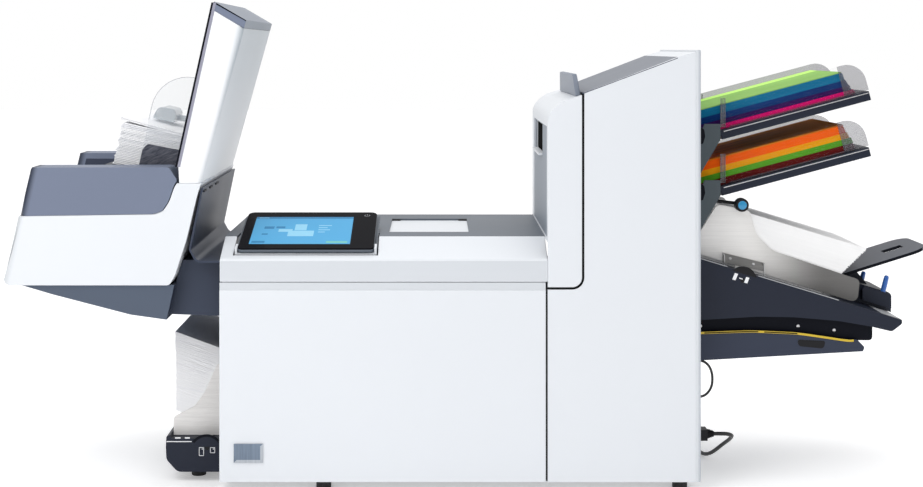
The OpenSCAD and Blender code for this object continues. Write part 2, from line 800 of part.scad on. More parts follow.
// Tail support for sheets longer than the deck
module tail_support() color(dark_grey)
    translate([tail_x, 0, tail_z])
        rotate([0, -tail_rise, 0])
            translate([0, 0, -tail_t])
                linear_extrude(tail_t)
                    difference() {
                        polygon(outline([[0, mid_y - 70, 6], [tail_l, mid_y - 70, 30], [tail_l, mid_y + 70, 30],
                                         [0, mid_y + 70, 6]]));
                        translate([tail_l - 60, mid_y - 12])
                            square([34, 24]);
                    }

// Stacker, measured leftwards from the body's left end and upwards from the tub's underside

module at_stacker() {
    translate([body_l, 0, tub_h])
        children();
}

// Frame of the stacked pile: x down to the right along the bed, z up the tower's lean
bed_corner = [-71.6, 0, 160];
module on_bed() {
    at_stacker()
        translate(bed_corner)
            rotate([0, lean, 0])
                children();
}

tub_t = 4;
rim_h = 109;
rim_d = 58;
rail_h = 186;
seat_h = 161;
stack_tower_d = depth - 14;

// X of the tub's leaning left edge at a height z above its underside
function tub_left(z) = -tub_w + z * tan(lean);

// White tub, open at the top
module stacker_tub() color(panel_white)
    at_stacker()
        difference() {
            slab([[-tub_w, 0, tub_round], [-79, 0, 8], [-70, 16], [-52, 72], [-35, 143], [-29, seat_h], [-67, seat_h],
                  [-71, 155], [-79, 132], [-89, 117], [-102, 112], [tub_left(rim_h), rim_h]], 0, depth);
            slab([[tub_left(tub_t) + 4.1, tub_t, 7], [-83, tub_t, 5], [-74.5, 16], [-56.5, 72], [-39.5, 143], [-34, seat_h + 10],
                  [-300, seat_h + 10], [tub_left(rim_h + 10) + 4.1, rim_h + 10]], tub_t, depth - tub_t);
        }

// Dark hollow side rails on the tub's front and back walls
module stacker_side_covers() color(dark_grey)
    at_stacker()
        both_sides()
            difference() {
                slab([[tub_left(rim_h) + 3, rim_h + 0.4], [tub_left(rail_h) + 4, rail_h], [-80, rail_h + 0.5, 10],
                      [-67, 166, 3], [-72.5, 156.5], [-80, 133.5], [-90, 118], [-102.5, 112.6]], 0, rim_d);
                slab([[tub_left(rim_h) + 7, rim_h - 5], [tub_left(rail_h), rail_h - skin], [-84, rail_h - skin, 7],
                      [-74, 166], [-84, 135], [-94, 121], [-94, rim_h - 5]], skin, rim_d - skin);
            }

// White leaning shell of the stacker's tower
module stacker_tower() color(panel_white)
    at_stacker()
        difference() {
            slab([[-63.5, seat_h + 0.2], [-29, seat_h + 0.2], [39, 406], [-10.6, 435.5], [-65, 190]], 0, stack_tower_d);
            slab([[-75, seat_h - 1], [-33, seat_h - 1], [34.5, 410], [-15, 440], [-80, 190]], skin, stack_tower_d - skin);
        }

// Dark floor and face that the pile lies on and leans on, and the cap on the tower
module stack_bed() color(black) {
    on_bed() {
        block([-125, rim_d, -4], [4, depth - rim_d, 0]);
        block([0, rim_d, -4], [4, depth - rim_d, stack_tower_h - 14]);
    }
    at_stacker()
        slab([[-10.6, 435.7], [39, 406.2], [42.5, 419], [-8, 448.5]], 0, stack_tower_d);
}

// Dark wedge under the tub and the narrower housing that hang the stacker on the body's left end, with the curved
// chute up to the tower
house_in = 30;
module stacker_bracket() color(dark_grey)
    at_stacker() {
        slab([[0, 35], [0, 38], [-36, 38, 12], [-46, 56, 6], [-26, 154], [-29, 154], [-49, 56, 8], [-38, 35, 10]],
             tub_t, depth - tub_t);
        difference() {
            union() {
                slab([[-315, 0], [-264, -15], [-141, -47, 60], [-84, -55], [-72, 0]], tub_t, depth - tub_t);
                slab([[-110, -20], [-95, -50], [0, -53.5], [0, 36], [-62.8, 36], [-69.2, 16], [-75, -4], [-110, -4]],
                     house_in, depth - house_in);
            }
            slab([[-300, 1], [-262, -11], [-140, -43, 60], [-87.5, -51], [-76.5, 1]], 2 * tub_t, depth - 2 * tub_t);
            slab([[-100, -20], [-91, -46], [-4, -49.5], [-4, 34.5], [-59, 34.5], [-65, 15], [-71, -6], [-100, -8]],
                 house_in + tub_t, depth - house_in - tub_t);
        }
    }

// Clear guard in front of the pile, which slides towards the front
guard_y = mid_y - envelope_l / 2 - 2.5 - 3;
module stack_guard() color(clear_grey)
    on_bed() {
        slab([[-74, slide], [-76, 84], [-74, 123, 40], [-55, 157, 16], [-15, 167, 6], [-3, 166], [-3, slide]],
             guard_y, guard_y + 3);
        block([-70, guard_y - 8, slide], [-8, guard_y + 1, slide + 2]);
    }

// Weight that rides down the tower's face on the pile
module stack_weight() color(clear_grey)
    on_bed() {
        block([-78, mid_y - 35, stacked_pile + slide], [-38, mid_y + 35, stacked_pile + 20]);
        block([-40, mid_y - 8, stacked_pile + 4], [-0.4, mid_y + 8, stacked_pile + 14]);
    }

// Envelope feeder, measured leftwards from the body's left end

module at_hopper() {
    translate([body_l, 0, 0])
        children();
}
hopper_y = mid_y - 140;
hopper_screw_u = -28;
hopper_screw_z = hopper_h - 15;
hopper_wheel_r = 15.6;
hopper_wheel_y = hopper_y + plate_t + wheel_gap;
hopper_guide_y = mid_y - envelope_l / 2 - 0.5 - guide_t;

// Height of the pile's underside at a distance u from the body's left end
function hopper_z(u) = hopper_h + ramp_h - (u + 83) * tan(hopper_slope);

// Table of the envelope feeder: a hollow moulding slotted for the guides, with a ramp
module envelope_base() color(dark_grey)
    at_hopper() {
        difference() {
            union() {
                slab([[-95, hopper_h - 13, 4], [-94, foot_h + 20, 14], [-76, foot_h, 14], [0, foot_h], [0, hopper_h],
                      [-86, hopper_h], [-88, hopper_h + 5.5], [-94, hopper_h + 4, 3]], hopper_y, depth - hopper_y);
                rod_y(hopper_screw_u, hopper_screw_z, hopper_wheel_r + wheel_hump, hopper_y, hopper_y + plate_t);
            }
            slab([[-90, hopper_h - 13], [-89, foot_h + 21, 10], [-74, foot_h + plate_t, 10], [-4, foot_h + plate_t],
                  [-4, hopper_h - plate_t], [-90, hopper_h - plate_t]], hopper_y + plate_t, depth - hopper_y - plate_t);
            rod_y(hopper_screw_u, hopper_screw_z, hopper_wheel_r + wheel_room, hopper_y + plate_t - wheel_recess,
                  hopper_wheel_y + wheel_t + wheel_gap);
            block([hopper_screw_u - nut - 1, hopper_y + plate_t, hopper_h - 6],
                  [hopper_screw_u + nut + 1, depth - hopper_y - plate_t, hopper_h + 1]);
            rod_y(hopper_screw_u, hopper_screw_z, screw_r + fit, 0, depth);
        }
        slab([[-80, hopper_h - 1], [-80, hopper_z(-80) - slide], [-1, hopper_z(-1) - slide], [-1, hopper_h - 1]],
             mid_y - 60, mid_y + 60);
    }

// Filled envelopes in the stacker, and empty ones waiting in the feeder
module envelope_piles() color(paper_white) {
    on_bed()
        block([-envelope_w - 1, mid_y - envelope_l / 2, 0], [-1, mid_y + envelope_l / 2, stacked_pile]);
    at_hopper()
        pile([[-83, hopper_z(-83)], [24, hopper_z(24)], [24, hopper_z(24) + hopper_pile],
              [-83, hopper_z(-83) + hopper_pile]], envelope_l);
}

// Steel side guide of the envelope feeder with its nut
module envelope_guide() color(steel)
    at_hopper()
        difference() {
            union() {
                slab([[-86, hopper_h + slide], [-86, hopper_h + 30, 8], [-52, hopper_h + 47, 20], [-36, hopper_h + 69, 20],
                      [-15, hopper_h + 116, 8], [-2, hopper_h + 118], [-2, hopper_h + slide]],
                     hopper_guide_y, hopper_guide_y + guide_t);
                slab([[hopper_screw_u - 6, hopper_screw_z], [hopper_screw_u + 6, hopper_screw_z],
                      [hopper_screw_u + 6, hopper_h + 1], [hopper_screw_u - 6, hopper_h + 1]],
                     hopper_guide_y, hopper_guide_y + guide_t);
                block([hopper_screw_u - nut, hopper_guide_y, hopper_screw_z - nut],
                      [hopper_screw_u + nut, hopper_guide_y + 14, hopper_screw_z + nut]);
            }
            rod_y(hopper_screw_u, hopper_screw_z, screw_r + fit, 0, depth);
        }
module envelope_front_guide() envelope_guide();
module envelope_rear_guide() to_rear() envelope_guide();

// Screw that moves the two envelope guides, with its hand wheel behind the table's front wall
module envelope_guide_screw() color(black)
    at_hopper() {
        rod_y(hopper_screw_u, hopper_screw_z, screw_r, hopper_y, depth - hopper_y + 5);
        rod_y(hopper_screw_u, hopper_screw_z, hopper_wheel_r, hopper_wheel_y, hopper_wheel_y + wheel_t);
        rod_y(hopper_screw_u, hopper_screw_z, screw_r + 3, depth - hopper_y + 0.4, depth - hopper_y + 5);
    }

// Roller that draws the lowest envelope into the body
module envelope_feed_roller() color(black)
    roller(envelope_feed_x, envelope_feed_z, envelope_roller_r, mid_y - 60, mid_y + 60, journal_r, 5, depth - 5);

// Cables

// Mains connector in the inlet, with its strain relief
lead_start = 38;
lead_y = 100;
lead_z = 68;
module mains_connector() color(black)
    at_tower() {
        block([0, inlet_y[0], inlet_z[0]], [26, inlet_y[1], inlet_z[1]]);
        translate([25, lead_y, lead_z])
            rotate([0, 90, 0])
                cylinder(r1 = 8, r2 = lead_d / 2 + 0.8, h = lead_start - 25);
    }

// Route of the mains lead from its connector to its coil, from the tower's right side
lead_route = [
    [38, 100, 68], [49, 100, 68], [59, 103, 67], [67, 109, 64], [71, 118, 60], [71, 129, 54], [69, 141, 47],
    [65, 154, 39], [60, 167, 30], [55, 180, 21], [50, 193, 13], [45, 207, 7], [41, 222, 4], [38, 238, 3.3],
    [36, 254, 3.3], [35, 270, 3.3], [34, 286, 3.3], [33, 302, 3.3], [32, 318, 3.3], [32, 334, 3.3], [32, 350, 3.3],
    [32, 366, 3.3], [32, 382, 3.3], [29, 396, 3.3], [21, 407, 3.3], [9, 413, 3.3], [-5, 415, 3.3], [-20, 415, 3.3],
    [-35, 415, 3.5], [-50, 415, 4], [-65, 415, 4.4], [-80, 415, 4.6], [-93.6, 415, 4.6]];
module mains_lead() color(black)
    tube([for (p = lead_route) p + [tower_r, 0, 0]], lead_d / 2, 10);

// Coil of the spare lead: it spirals in on the desk, climbs in half a turn, and spirals out on top
coil_at = [-100, 459];
coil_r = 44;
coil_z = 4.6;
coil_gap = 0.6;
coil_turns = 5.5;
loop_rings = 24;
coil_pitch = lead_d + coil_gap;
coil_end = 45;
function coil_point(t) =
    let (r = coil_r - coil_pitch * (coil_turns / 2 - abs(t - coil_turns / 2)),
         climb = min(1, max(0, (t - coil_turns / 2 + 0.25) / 0.5)), a = -90 - 360 * t)
    [coil_at.x + r * cos(a), coil_at.y + r * sin(a), coil_z + coil_pitch * climb];
coil_loops = [for (i = [0 : coil_turns * loop_rings]) coil_point(i / loop_rings)];
coil_path = concat([[coil_at.x + 6.4, coil_at.y - coil_r, coil_z]], coil_loops,
    [for (x = [15, 30, coil_end]) [coil_at.x + x, coil_at.y + coil_r, coil_z + coil_pitch]]);
coil_least_gap = min([for (i = [0 : len(coil_loops) - 1], j = [i + 12 : 1 : len(coil_loops) - 1])
    norm(coil_loops[i] - coil_loops[j])]) - lead_d;
echo(coil_least_gap = coil_least_gap);
module mains_coil() color(black)
    tube([for (p = coil_path) p + [tower_r, 0, 0]], lead_d / 2, 6);

// Two pin mains plug beside the coil
module mains_plug() color(black)
    translate([tower_r + coil_at.x + coil_end, coil_at.y + coil_r, coil_z + coil_pitch])
        rotate([0, 90, 0]) {
            cylinder(r1 = lead_d / 2 + 0.8, r2 = 7, h = 20);
            translate([0, 0, 20])
                linear_extrude(34)
                    polygon(outline([[-11, -14, 6], [11, -14, 6], [11, 14, 6], [-11, 14, 6]]));
            for (y = [-9.5, 9.5])
                translate([0, y, 53])
                    cylinder(r = 2.4, h = 20);
        }

// Link cable between the tower and the main feeder
link_route = [[0, 62, 196], [8, 62, 196], [17, 62, 193], [24, 62, 186], [28, 62, 176], [29, 62, 166],
    [28, 62, 156], [24, 62, 147], [17, 62, 140], [8, 62, 137], [0, 62, 137]];
module link_cable() color(black)
    tube([for (p = link_route) p + [tower_r, 0, 0]], link_d / 2, 8, [0, 1, 0]);

// Puts the machine's middle over the origin
module centred() {
    translate([-reach_mid, -mid_y, 0])
        children();
}

centred() base_tray();
centred() feet();
centred() side_frames();
centred() front_panel();
centred() end_plate();
centred() rear_cover();
centred() fold_roller_upper();
centred() fold_roller_lower();
centred() fold_plates();
centred() drive_motor();
centred() electronics();
centred() cover_front();
centred() cover_panel();
centred() top_insert();
centred() display();
centred() door_shell();
centred() door_face();
centred() grip_paddle();
centred() tower_front_panel();
centred() tower_top_panel();
centred() tower_frame();
centred() tower_side_frame();
centred() upper_feed_roller();
centred() lower_feed_roller();
centred() main_feed_roller();
centred() upper_tray();
centred() lower_tray();
centred() sheet_piles();
centred() upper_front_guide();
centred() upper_rear_guide();
centred() lower_front_guide();
centred() lower_rear_guide();
centred() feeder_deck();
centred() feeder_arm();
centred() lower_cover();
centred() main_guide_screw();
centred() main_front_guide();
centred() main_rear_guide();
centred() separator_knob();
centred() back_stop();
centred() release_lever();
centred() tail_support();
centred() stacker_tub();
centred() stacker_side_covers();
centred() stack_bed();
centred() stacker_tower();
centred() stacker_bracket();
centred() envelope_piles();
centred() stack_guard();
centred() stack_weight();
centred() envelope_base();
centred() envelope_front_guide();
centred() envelope_rear_guide();
centred() envelope_guide_screw();
centred() envelope_feed_roller();
centred() mains_connector();
centred() mains_lead();
centred() mains_coil();
centred() mains_plug();
centred() link_cable();
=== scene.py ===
import json
import math
import bmesh
import bpy
from mathutils import Matrix, Vector


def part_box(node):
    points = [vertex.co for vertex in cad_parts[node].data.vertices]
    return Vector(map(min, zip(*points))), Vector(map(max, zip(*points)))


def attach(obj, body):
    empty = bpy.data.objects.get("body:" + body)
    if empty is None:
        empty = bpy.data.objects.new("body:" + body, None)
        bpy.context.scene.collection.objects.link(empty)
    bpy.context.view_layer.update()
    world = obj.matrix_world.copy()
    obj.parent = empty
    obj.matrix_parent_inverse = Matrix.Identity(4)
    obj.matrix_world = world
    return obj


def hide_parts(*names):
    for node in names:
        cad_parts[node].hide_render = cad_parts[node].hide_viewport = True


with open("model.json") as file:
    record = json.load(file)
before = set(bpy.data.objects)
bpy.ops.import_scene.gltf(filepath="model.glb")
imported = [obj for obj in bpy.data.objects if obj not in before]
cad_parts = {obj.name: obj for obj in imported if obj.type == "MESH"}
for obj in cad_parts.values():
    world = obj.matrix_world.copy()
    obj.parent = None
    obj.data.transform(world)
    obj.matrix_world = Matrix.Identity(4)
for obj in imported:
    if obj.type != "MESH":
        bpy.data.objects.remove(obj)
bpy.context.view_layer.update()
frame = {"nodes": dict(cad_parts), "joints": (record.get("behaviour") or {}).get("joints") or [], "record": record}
nodes = frame["nodes"]
bodyOf = {n: b for b, members in frame["record"]["behaviour"]["bodies"].items() for n in members}
scene = bpy.context.scene
mm = 0.001
print("frame loaded with", len(nodes), "nodes")

# main planes in millimetres, read from the frame
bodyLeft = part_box("front_panel")[0].x / mm
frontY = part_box("front_panel")[0].y / mm
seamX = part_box("tower_front_panel")[0].x / mm
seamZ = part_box("cover_front")[0].z / mm
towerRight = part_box("link_cable")[0].x / mm  # the link cable's ends meet the tower's right side

# camera, as the photograph was framed
shot = {"width": 923, "height": 487, "vanish": (437, 48), "mmPerPixel": 1.58, "away": 2.470,
        "eyeHeight": 0.702, "eyeX": -0.0675, "sensor": 36.0}


def placeCamera():
    data = bpy.data.cameras.new("photoCamera")
    data.sensor_width = shot["sensor"]
    data.lens = shot["sensor"] * shot["away"] / (shot["width"] * shot["mmPerPixel"] * mm)
    data.shift_x = (shot["width"] / 2 - shot["vanish"][0]) / shot["width"]
    data.shift_y = (shot["vanish"][1] - shot["height"] / 2) / shot["width"]
    cam = bpy.data.objects.new("photoCamera", data)
    cam.location = (shot["eyeX"], frontY * mm - shot["away"], shot["eyeHeight"])
    cam.rotation_euler = (math.radians(90), 0, 0)
    scene.collection.objects.link(cam)
    scene.camera = cam


placeCamera()


# node helpers: an input takes a value, or the socket that feeds it
def fillInputs(tree, node, inputs):
    for label, value in dict(inputs).items():
        if isinstance(value, bpy.types.NodeSocket):
            tree.links.new(value, node.inputs[label])
        else:
            node.inputs[label].default_value = value


def addNode(tree, kind, place, inputs=(), **settings):
    made = tree.nodes.new(kind)
    made.location = place
    for key, value in settings.items():
        setattr(made, key, value)
    fillInputs(tree, made, inputs)
    return made


def addMath(tree, operation, place, *values):
    return addNode(tree, "ShaderNodeMath", place, enumerate(values), operation=operation).outputs[0]


def newGroup(name, kind, inputs, outputs):
    group = bpy.data.node_groups.new(name, kind)
    for way, sockets in (("INPUT", inputs), ("OUTPUT", outputs)):
        for label, socketType, value in sockets:
            socket = group.interface.new_socket(label, in_out=way, socket_type="NodeSocket" + socketType)
            if value is not None:
                socket.default_value = value
    source = addNode(group, "NodeGroupInput", (-900, 0))
    return group, source.outputs, addNode(group, "NodeGroupOutput", (900, 0))


surface = [("Color", "Color", None), ("Roughness", "Float", None), ("Height", "Float", None)]


# moulded plastic: a fine spark-eroded grain, with a slow drift of tone
def buildMouldGrain():
    group, given, sink = newGroup("mouldGrain", "ShaderNodeTree", [
        ("Color", "Color", (0.8, 0.8, 0.8, 1)), ("Grain", "Float", 1400.0), ("Roughness", "Float", 0.45),
        ("Drift", "Float", 0.04)], surface)
    spot = addNode(group, "ShaderNodeTexCoord", (-900, 300)).outputs["Object"]
    fine = addNode(group, "ShaderNodeTexNoise", (-600, 200), {
        "Vector": spot, "Scale": given["Grain"], "Detail": 2.0})
    slow = addNode(group, "ShaderNodeTexNoise", (-600, -100), {"Vector": spot, "Scale": 5.0, "Detail": 3.0})
    swing = addMath(group, "SUBTRACT", (-380, -100), slow.outputs["Fac"], 0.5)
    amount = addMath(group, "MULTIPLY", (-200, -100), swing, given["Drift"])
    tone = addMath(group, "ADD", (-20, -100), amount, 1.0)
    shade = addNode(group, "ShaderNodeVectorMath", (160, 100), {0: given["Color"], "Scale": tone},
                    operation="SCALE")
    gloss = addMath(group, "MULTIPLY_ADD", (160, -200), swing, 0.12, given["Roughness"])
    fillInputs(group, sink, {"Color": shade.outputs[0], "Roughness": gloss, "Height": fine.outputs["Fac"]})
    return group


# lines drawn out along one direction: brushing on steel, sheet edges in a pile
def buildDrawnLines():
    group, given, sink = newGroup("drawnLines", "ShaderNodeTree", [
        ("Dark", "Color", (0.4, 0.4, 0.4, 1)), ("Light", "Color", (0.7, 0.7, 0.7, 1)),
        ("Stretch", "Vector", (4.0, 4.0, 900.0)), ("Turn", "Vector", (0.0, 0.0, 0.0)),
        ("Roughness", "Float", 0.35)], surface)
    spot = addNode(group, "ShaderNodeTexCoord", (-900, 300)).outputs["Object"]
    turn = addNode(group, "ShaderNodeVectorRotate", (-700, 300), {"Vector": spot, "Rotation": given["Turn"]},
                   rotation_type="EULER_XYZ")
    drawn = addNode(group, "ShaderNodeVectorMath", (-500, 300), {
        0: turn.outputs["Vector"], 1: given["Stretch"]}, operation="MULTIPLY")
    lines = addNode(group, "ShaderNodeTexNoise", (-300, 300), {
        "Vector": drawn.outputs[0], "Scale": 1.0, "Detail": 4.0, "Roughness": 0.7}).outputs["Fac"]
    spread = addNode(group, "ShaderNodeMapRange", (-80, 300), {
        "Value": lines, "From Min": 0.3, "From Max": 0.7}).outputs["Result"]
    blend = addNode(group, "ShaderNodeMix", (150, 300), {0: spread, 6: given["Dark"], 7: given["Light"]},
                    data_type="RGBA")
    gloss = addMath(group, "MULTIPLY_ADD", (150, -100), lines, 0.15, given["Roughness"])
    fillInputs(group, sink, {"Color": blend.outputs[2], "Roughness": gloss, "Height": spread})
    return group


mouldGrain = buildMouldGrain()
drawnLines = buildDrawnLines()


def makeMaterial(name, group, values, depth, sockets):
    material = bpy.data.materials.new(name)
    material.use_nodes = True
    tree = material.node_tree
    placed = addNode(tree, "ShaderNodeGroup", (-600, 0), node_tree=group)
    fillInputs(tree, placed, values)
    bump = addNode(tree, "ShaderNodeBump", (-300, -300), {
        "Height": placed.outputs["Height"], "Strength": 0.5, "Distance": depth * mm})
    fillInputs(tree, tree.nodes["Principled BSDF"], {
        "Base Color": placed.outputs["Color"], "Roughness": placed.outputs["Roughness"],
        "Normal": bump.outputs["Normal"], **dict(sockets)})
    return material


def mouldedPlastic(name, colour, rough, grain=1400.0, drift=0.04, depth=0.05, sockets=()):
    values = {"Color": (*colour, 1), "Grain": grain, "Roughness": rough, "Drift": drift}
    return makeMaterial(name, mouldGrain, values, depth, sockets)


def linedFinish(name, dark, light, stretch, rough, metallic=0.0, lean=0.0, depth=0.05, specular=0.5):
    values = {"Dark": (*dark, 1), "Light": (*light, 1), "Stretch": stretch,
              "Turn": (0, math.radians(lean), 0), "Roughness": rough}
    sockets = {"Metallic": metallic, "Specular IOR Level": specular}
    return makeMaterial(name, drawnLines, values, depth, sockets)


# tints a finish from one colour to another between two distances along a direction, to paint shade
def blendAlong(material, first, second, way, ends):
    tree = material.node_tree
    base = next(n for n in tree.nodes if n.type == "GROUP")
    coords = addNode(tree, "ShaderNodeTexCoord", (-1400, 300))
    along = addNode(tree, "ShaderNodeVectorMath", (-1200, 300), {0: coords.outputs["Object"], 1: way},
                    operation="DOT_PRODUCT")
    spread = addNode(tree, "ShaderNodeMapRange", (-1000, 300), {
        "Value": along.outputs["Value"], "From Min": ends[0] * mm, "From Max": ends[1] * mm},
        interpolation_type="SMOOTHSTEP")
    tone = addNode(tree, "ShaderNodeMix", (-800, 300), {
        0: spread.outputs["Result"], 6: (*first, 1), 7: (*second, 1)}, data_type="RGBA")
    shade = addNode(tree, "ShaderNodeMix", (-300, 200), {
        0: 1.0, 6: tone.outputs[2], 7: base.outputs["Color"]}, data_type="RGBA", blend_type="MULTIPLY")
    fillInputs(tree, tree.nodes["Principled BSDF"], {"Base Color": shade.outputs[2]})
    return material


# white moulding with painted shade that greys it towards an edge
def shadedWhite(name, first, second, way, ends):
    return blendAlong(mouldedPlastic(name, (1, 1, 1), 0.38, **smooth), first, second, way, ends)


def clearPlastic(name, colour, alpha):
    material = mouldedPlastic(name, colour, 0.06, grain=300.0, drift=0.03, depth=0.01,
                              sockets={"Alpha": alpha, "Coat Weight": 0.4})
    material.surface_render_method = "BLENDED"
    return material


def glowing(name, colour, strength):
    return mouldedPlastic(name, colour, 0.25, grain=600.0, drift=0.06, depth=0.01, sockets={
        "Emission Color": (*colour, 1), "Emission Strength": strength, "Specular IOR Level": 0.05})


plain = {}
smooth = {"drift": 0.02, "depth": 0.03}
printed = {"drift": 0.02}
dull = {"sockets": {"Specular IOR Level": 0.25}}
mouldings = {  # colour, roughness and what differs from plain moulding
    "panelWhite": ((0.710, 0.735, 0.772), 0.38, smooth), "panelShade": ((0.605, 0.632, 0.668), 0.42, smooth),
    "capGrey": ((0.200, 0.228, 0.282), 0.45, plain), "slopeGrey": ((0.140, 0.155, 0.192), 0.48, plain),
    "edgeGrey": ((0.27, 0.27, 0.34), 0.4, plain), "tipGrey": ((0.42, 0.43, 0.45), 0.45, plain),
    "panelGrey": ((0.235, 0.270, 0.320), 0.5, plain), "topGrey": ((0.098, 0.117, 0.145), 0.5, plain),
    "railDark": ((0.040, 0.049, 0.080), 0.45, dull), "railGrey": ((0.165, 0.193, 0.268), 0.48, dull),
    "hookGrey": ((0.072, 0.090, 0.102), 0.5, dull), "tailGrey": ((0.092, 0.100, 0.122), 0.5, dull),
    "wedgeGrey": ((0.080, 0.101, 0.142), 0.45, dull), "coverGrey": ((0.030, 0.038, 0.064), 0.45, dull),
    "bracketGrey": ((0.036, 0.046, 0.074), 0.45, dull), "darkPlastic": ((0.011, 0.015, 0.029), 0.44, dull),
    "blackPlasticAndShade": ((0.006, 0.006, 0.008), 0.45, dull), "shadeBlack": ((0.006, 0.006, 0.007), 0.8, plain),
    "armBlack": ((0.0035, 0.0045, 0.009), 0.5, {"sockets": {"Specular IOR Level": 0.1}}),
    "rubber": ((0.016, 0.016, 0.017), 0.75, {"grain": 700.0, "depth": 0.12}),
    "cable": ((0.010, 0.010, 0.011), 0.4, {"grain": 500.0}),
    "bluePlastic": ((0.010, 0.105, 0.42), 0.3, {"sockets": {"Coat Weight": 0.3}}),
    "blueCap": ((0.012, 0.26, 0.52), 0.25, {"sockets": {"Coat Weight": 0.5}}),
    "board": ((0.02, 0.11, 0.05), 0.4, plain), "yellowTrim": ((0.60, 0.42, 0.02), 0.35, plain),
    "printAndHighlightWhite": ((0.85, 0.86, 0.88), 0.5, printed), "printGrey": ((0.30, 0.31, 0.33), 0.5, printed),
    "screenGlass": ((0.007, 0.007, 0.009), 0.12, {"drift": 0.02, "depth": 0.005,
                                                  "sockets": {"Specular IOR Level": 0.01}})}
linedMetals = {  # dark and light tone, stretch of the lines, roughness, how metallic
    "badgeField": ((0.13, 0.17, 0.23), (0.19, 0.24, 0.31), (300.0, 12.0, 12.0), 0.3, 0.4),
    "badgeRim": ((0.38, 0.41, 0.45), (0.52, 0.55, 0.60), (300.0, 12.0, 12.0), 0.3, 0.3),
    "clipSteel": ((0.27, 0.265, 0.26), (0.35, 0.345, 0.335), (12.0, 12.0, 900.0), 0.4, 0.2),
    "plateSteel": ((0.42, 0.43, 0.44), (0.60, 0.61, 0.62), (300.0, 12.0, 12.0), 0.4, 1.0),
    "brightSteelAndHighlight": ((0.55, 0.55, 0.56), (0.72, 0.72, 0.73), (500.0, 500.0, 40.0), 0.22, 1.0),
    "paleSteel": ((0.74, 0.725, 0.71), (0.86, 0.845, 0.83), (20.0, 20.0, 300.0), 0.5, 0.05),
    "steel": ((0.86, 0.86, 0.86), (1, 1, 1), (14.0, 14.0, 1600.0), 0.42, 0.12)}
clears = {  # tint and how much of it shows
    "guideClear": ((0.16, 0.16, 0.17), 0.025), "guideSmoked": ((0.16, 0.16, 0.19), 0.36),
    "guideTab": ((0.22, 0.23, 0.25), 0.3), "guardClear": ((0.66, 0.71, 0.78), 0.10),
    "guardEdge": ((0.34, 0.36, 0.42), 0.5), "weightClear": ((0.36, 0.42, 0.46), 0.55)}
screenTints = {"screenBlue": (0.075, 0.34, 0.60), "screenDeep": (0.030, 0.19, 0.38),
               "screenPale": (0.25, 0.54, 0.72), "screenGreen": (0.16, 0.48, 0.42)}
finish = {name: mouldedPlastic(name, colour, rough, **extra)
          for name, (colour, rough, extra) in mouldings.items()}
finish.update({name: linedFinish(name, *look) for name, look in linedMetals.items()})
finish.update({name: clearPlastic(name, *look) for name, look in clears.items()})
finish.update({name: glowing(name, colour, 0.12) for name, colour in screenTints.items()})
# painted shade: the main feeder's guides darken away from the tower
blendAlong(finish["steel"], (0.97, 0.955, 0.935), (0.16, 0.156, 0.152), (1, 0, 0),
           (towerRight + 70, towerRight + 225))
print("finishes made:", len(finish))


# mesh helpers
def boxMm(node):
    return [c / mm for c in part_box(node)]


def moved(x, y, z):
    return Matrix.Translation(Vector((x, y, z)) * mm)


def turned(degrees, axis):
    return Matrix.Rotation(math.radians(degrees), 4, axis)


def linkMesh(name, mesh):
    made = bpy.data.objects.new(name, mesh)
    scene.collection.objects.link(made)
    return made


def evaluatedMesh(piece):
    graph = bpy.context.evaluated_depsgraph_get()
    return bpy.data.meshes.new_from_object(piece.evaluated_get(graph), depsgraph=graph)


def settle(piece):
    mesh = evaluatedMesh(piece)
    old = piece.data
    piece.modifiers.clear()
    piece.data = mesh
    bpy.data.meshes.remove(old)


def setOn(piece, body, replaced=()):
    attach(piece, body)
    if replaced:
        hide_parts(*replaced)
    return piece


def sharpEdges(bm, limit=32):
    return [e for e in bm.edges if len(e.link_faces) == 2 and e.calc_face_angle(0) > math.radians(limit)]


def roundEdges(bm, edges, width, segments, clamp=True):
    if edges:
        bmesh.ops.bevel(bm, geom=edges, offset=width * mm, offset_type="OFFSET", segments=segments,
                        profile=0.5, affect="EDGES", clamp_overlap=clamp, material=-1)


def meshOf(name, bm, width=0.0, segments=2):
    bmesh.ops.recalc_face_normals(bm, faces=bm.faces)
    if width:
        roundEdges(bm, sharpEdges(bm), width, segments)
    mesh = bpy.data.meshes.new(name)
    bm.to_mesh(mesh)
    bm.free()
    return mesh


# turns a mesh into a piece: edges rounded, normals weighted, on its body
def finishPiece(name, bm, look, width=0.6, segments=2, body="chassis", replaced=(), place=None):
    mesh = meshOf(name, bm, width, segments)
    if place is not None:
        mesh.transform(place)
    mesh.materials.append(finish[look])
    mesh.shade_smooth()
    mesh.set_sharp_from_angle(angle=math.radians(40))
    piece = linkMesh(name, mesh)
    weighted = piece.modifiers.new("weighted", "WEIGHTED_NORMAL")
    weighted.keep_sharp = True
    settle(piece)
    return setOn(piece, body, replaced)


# rounds off the facets of an arc, by more where the facets are wider
def smoothArcs(bm):
    steps = (14.0, 7.0, 3.5, 1.8, 0.9)
    found = {s: [] for s in steps}
    for e in sharpEdges(bm, 4):
        if e.calc_face_angle(0) < math.radians(50):
            wide = min(f.calc_area() for f in e.link_faces) / e.calc_length() / mm
            step = next((s for s in steps if wide >= s), None)
            if step:
                found[step].append(e)
    for step, edges in found.items():
        roundEdges(bm, [e for e in edges if e.is_valid], step * 0.42, 3, False)


# gives the faces whose centre and normal pass a test another finish
def tintFaces(piece, look, test):
    piece.data.materials.append(finish[look])
    last = len(piece.data.materials) - 1
    for face in piece.data.polygons:
        if test(face.center / mm, face.normal):
            face.material_index = last


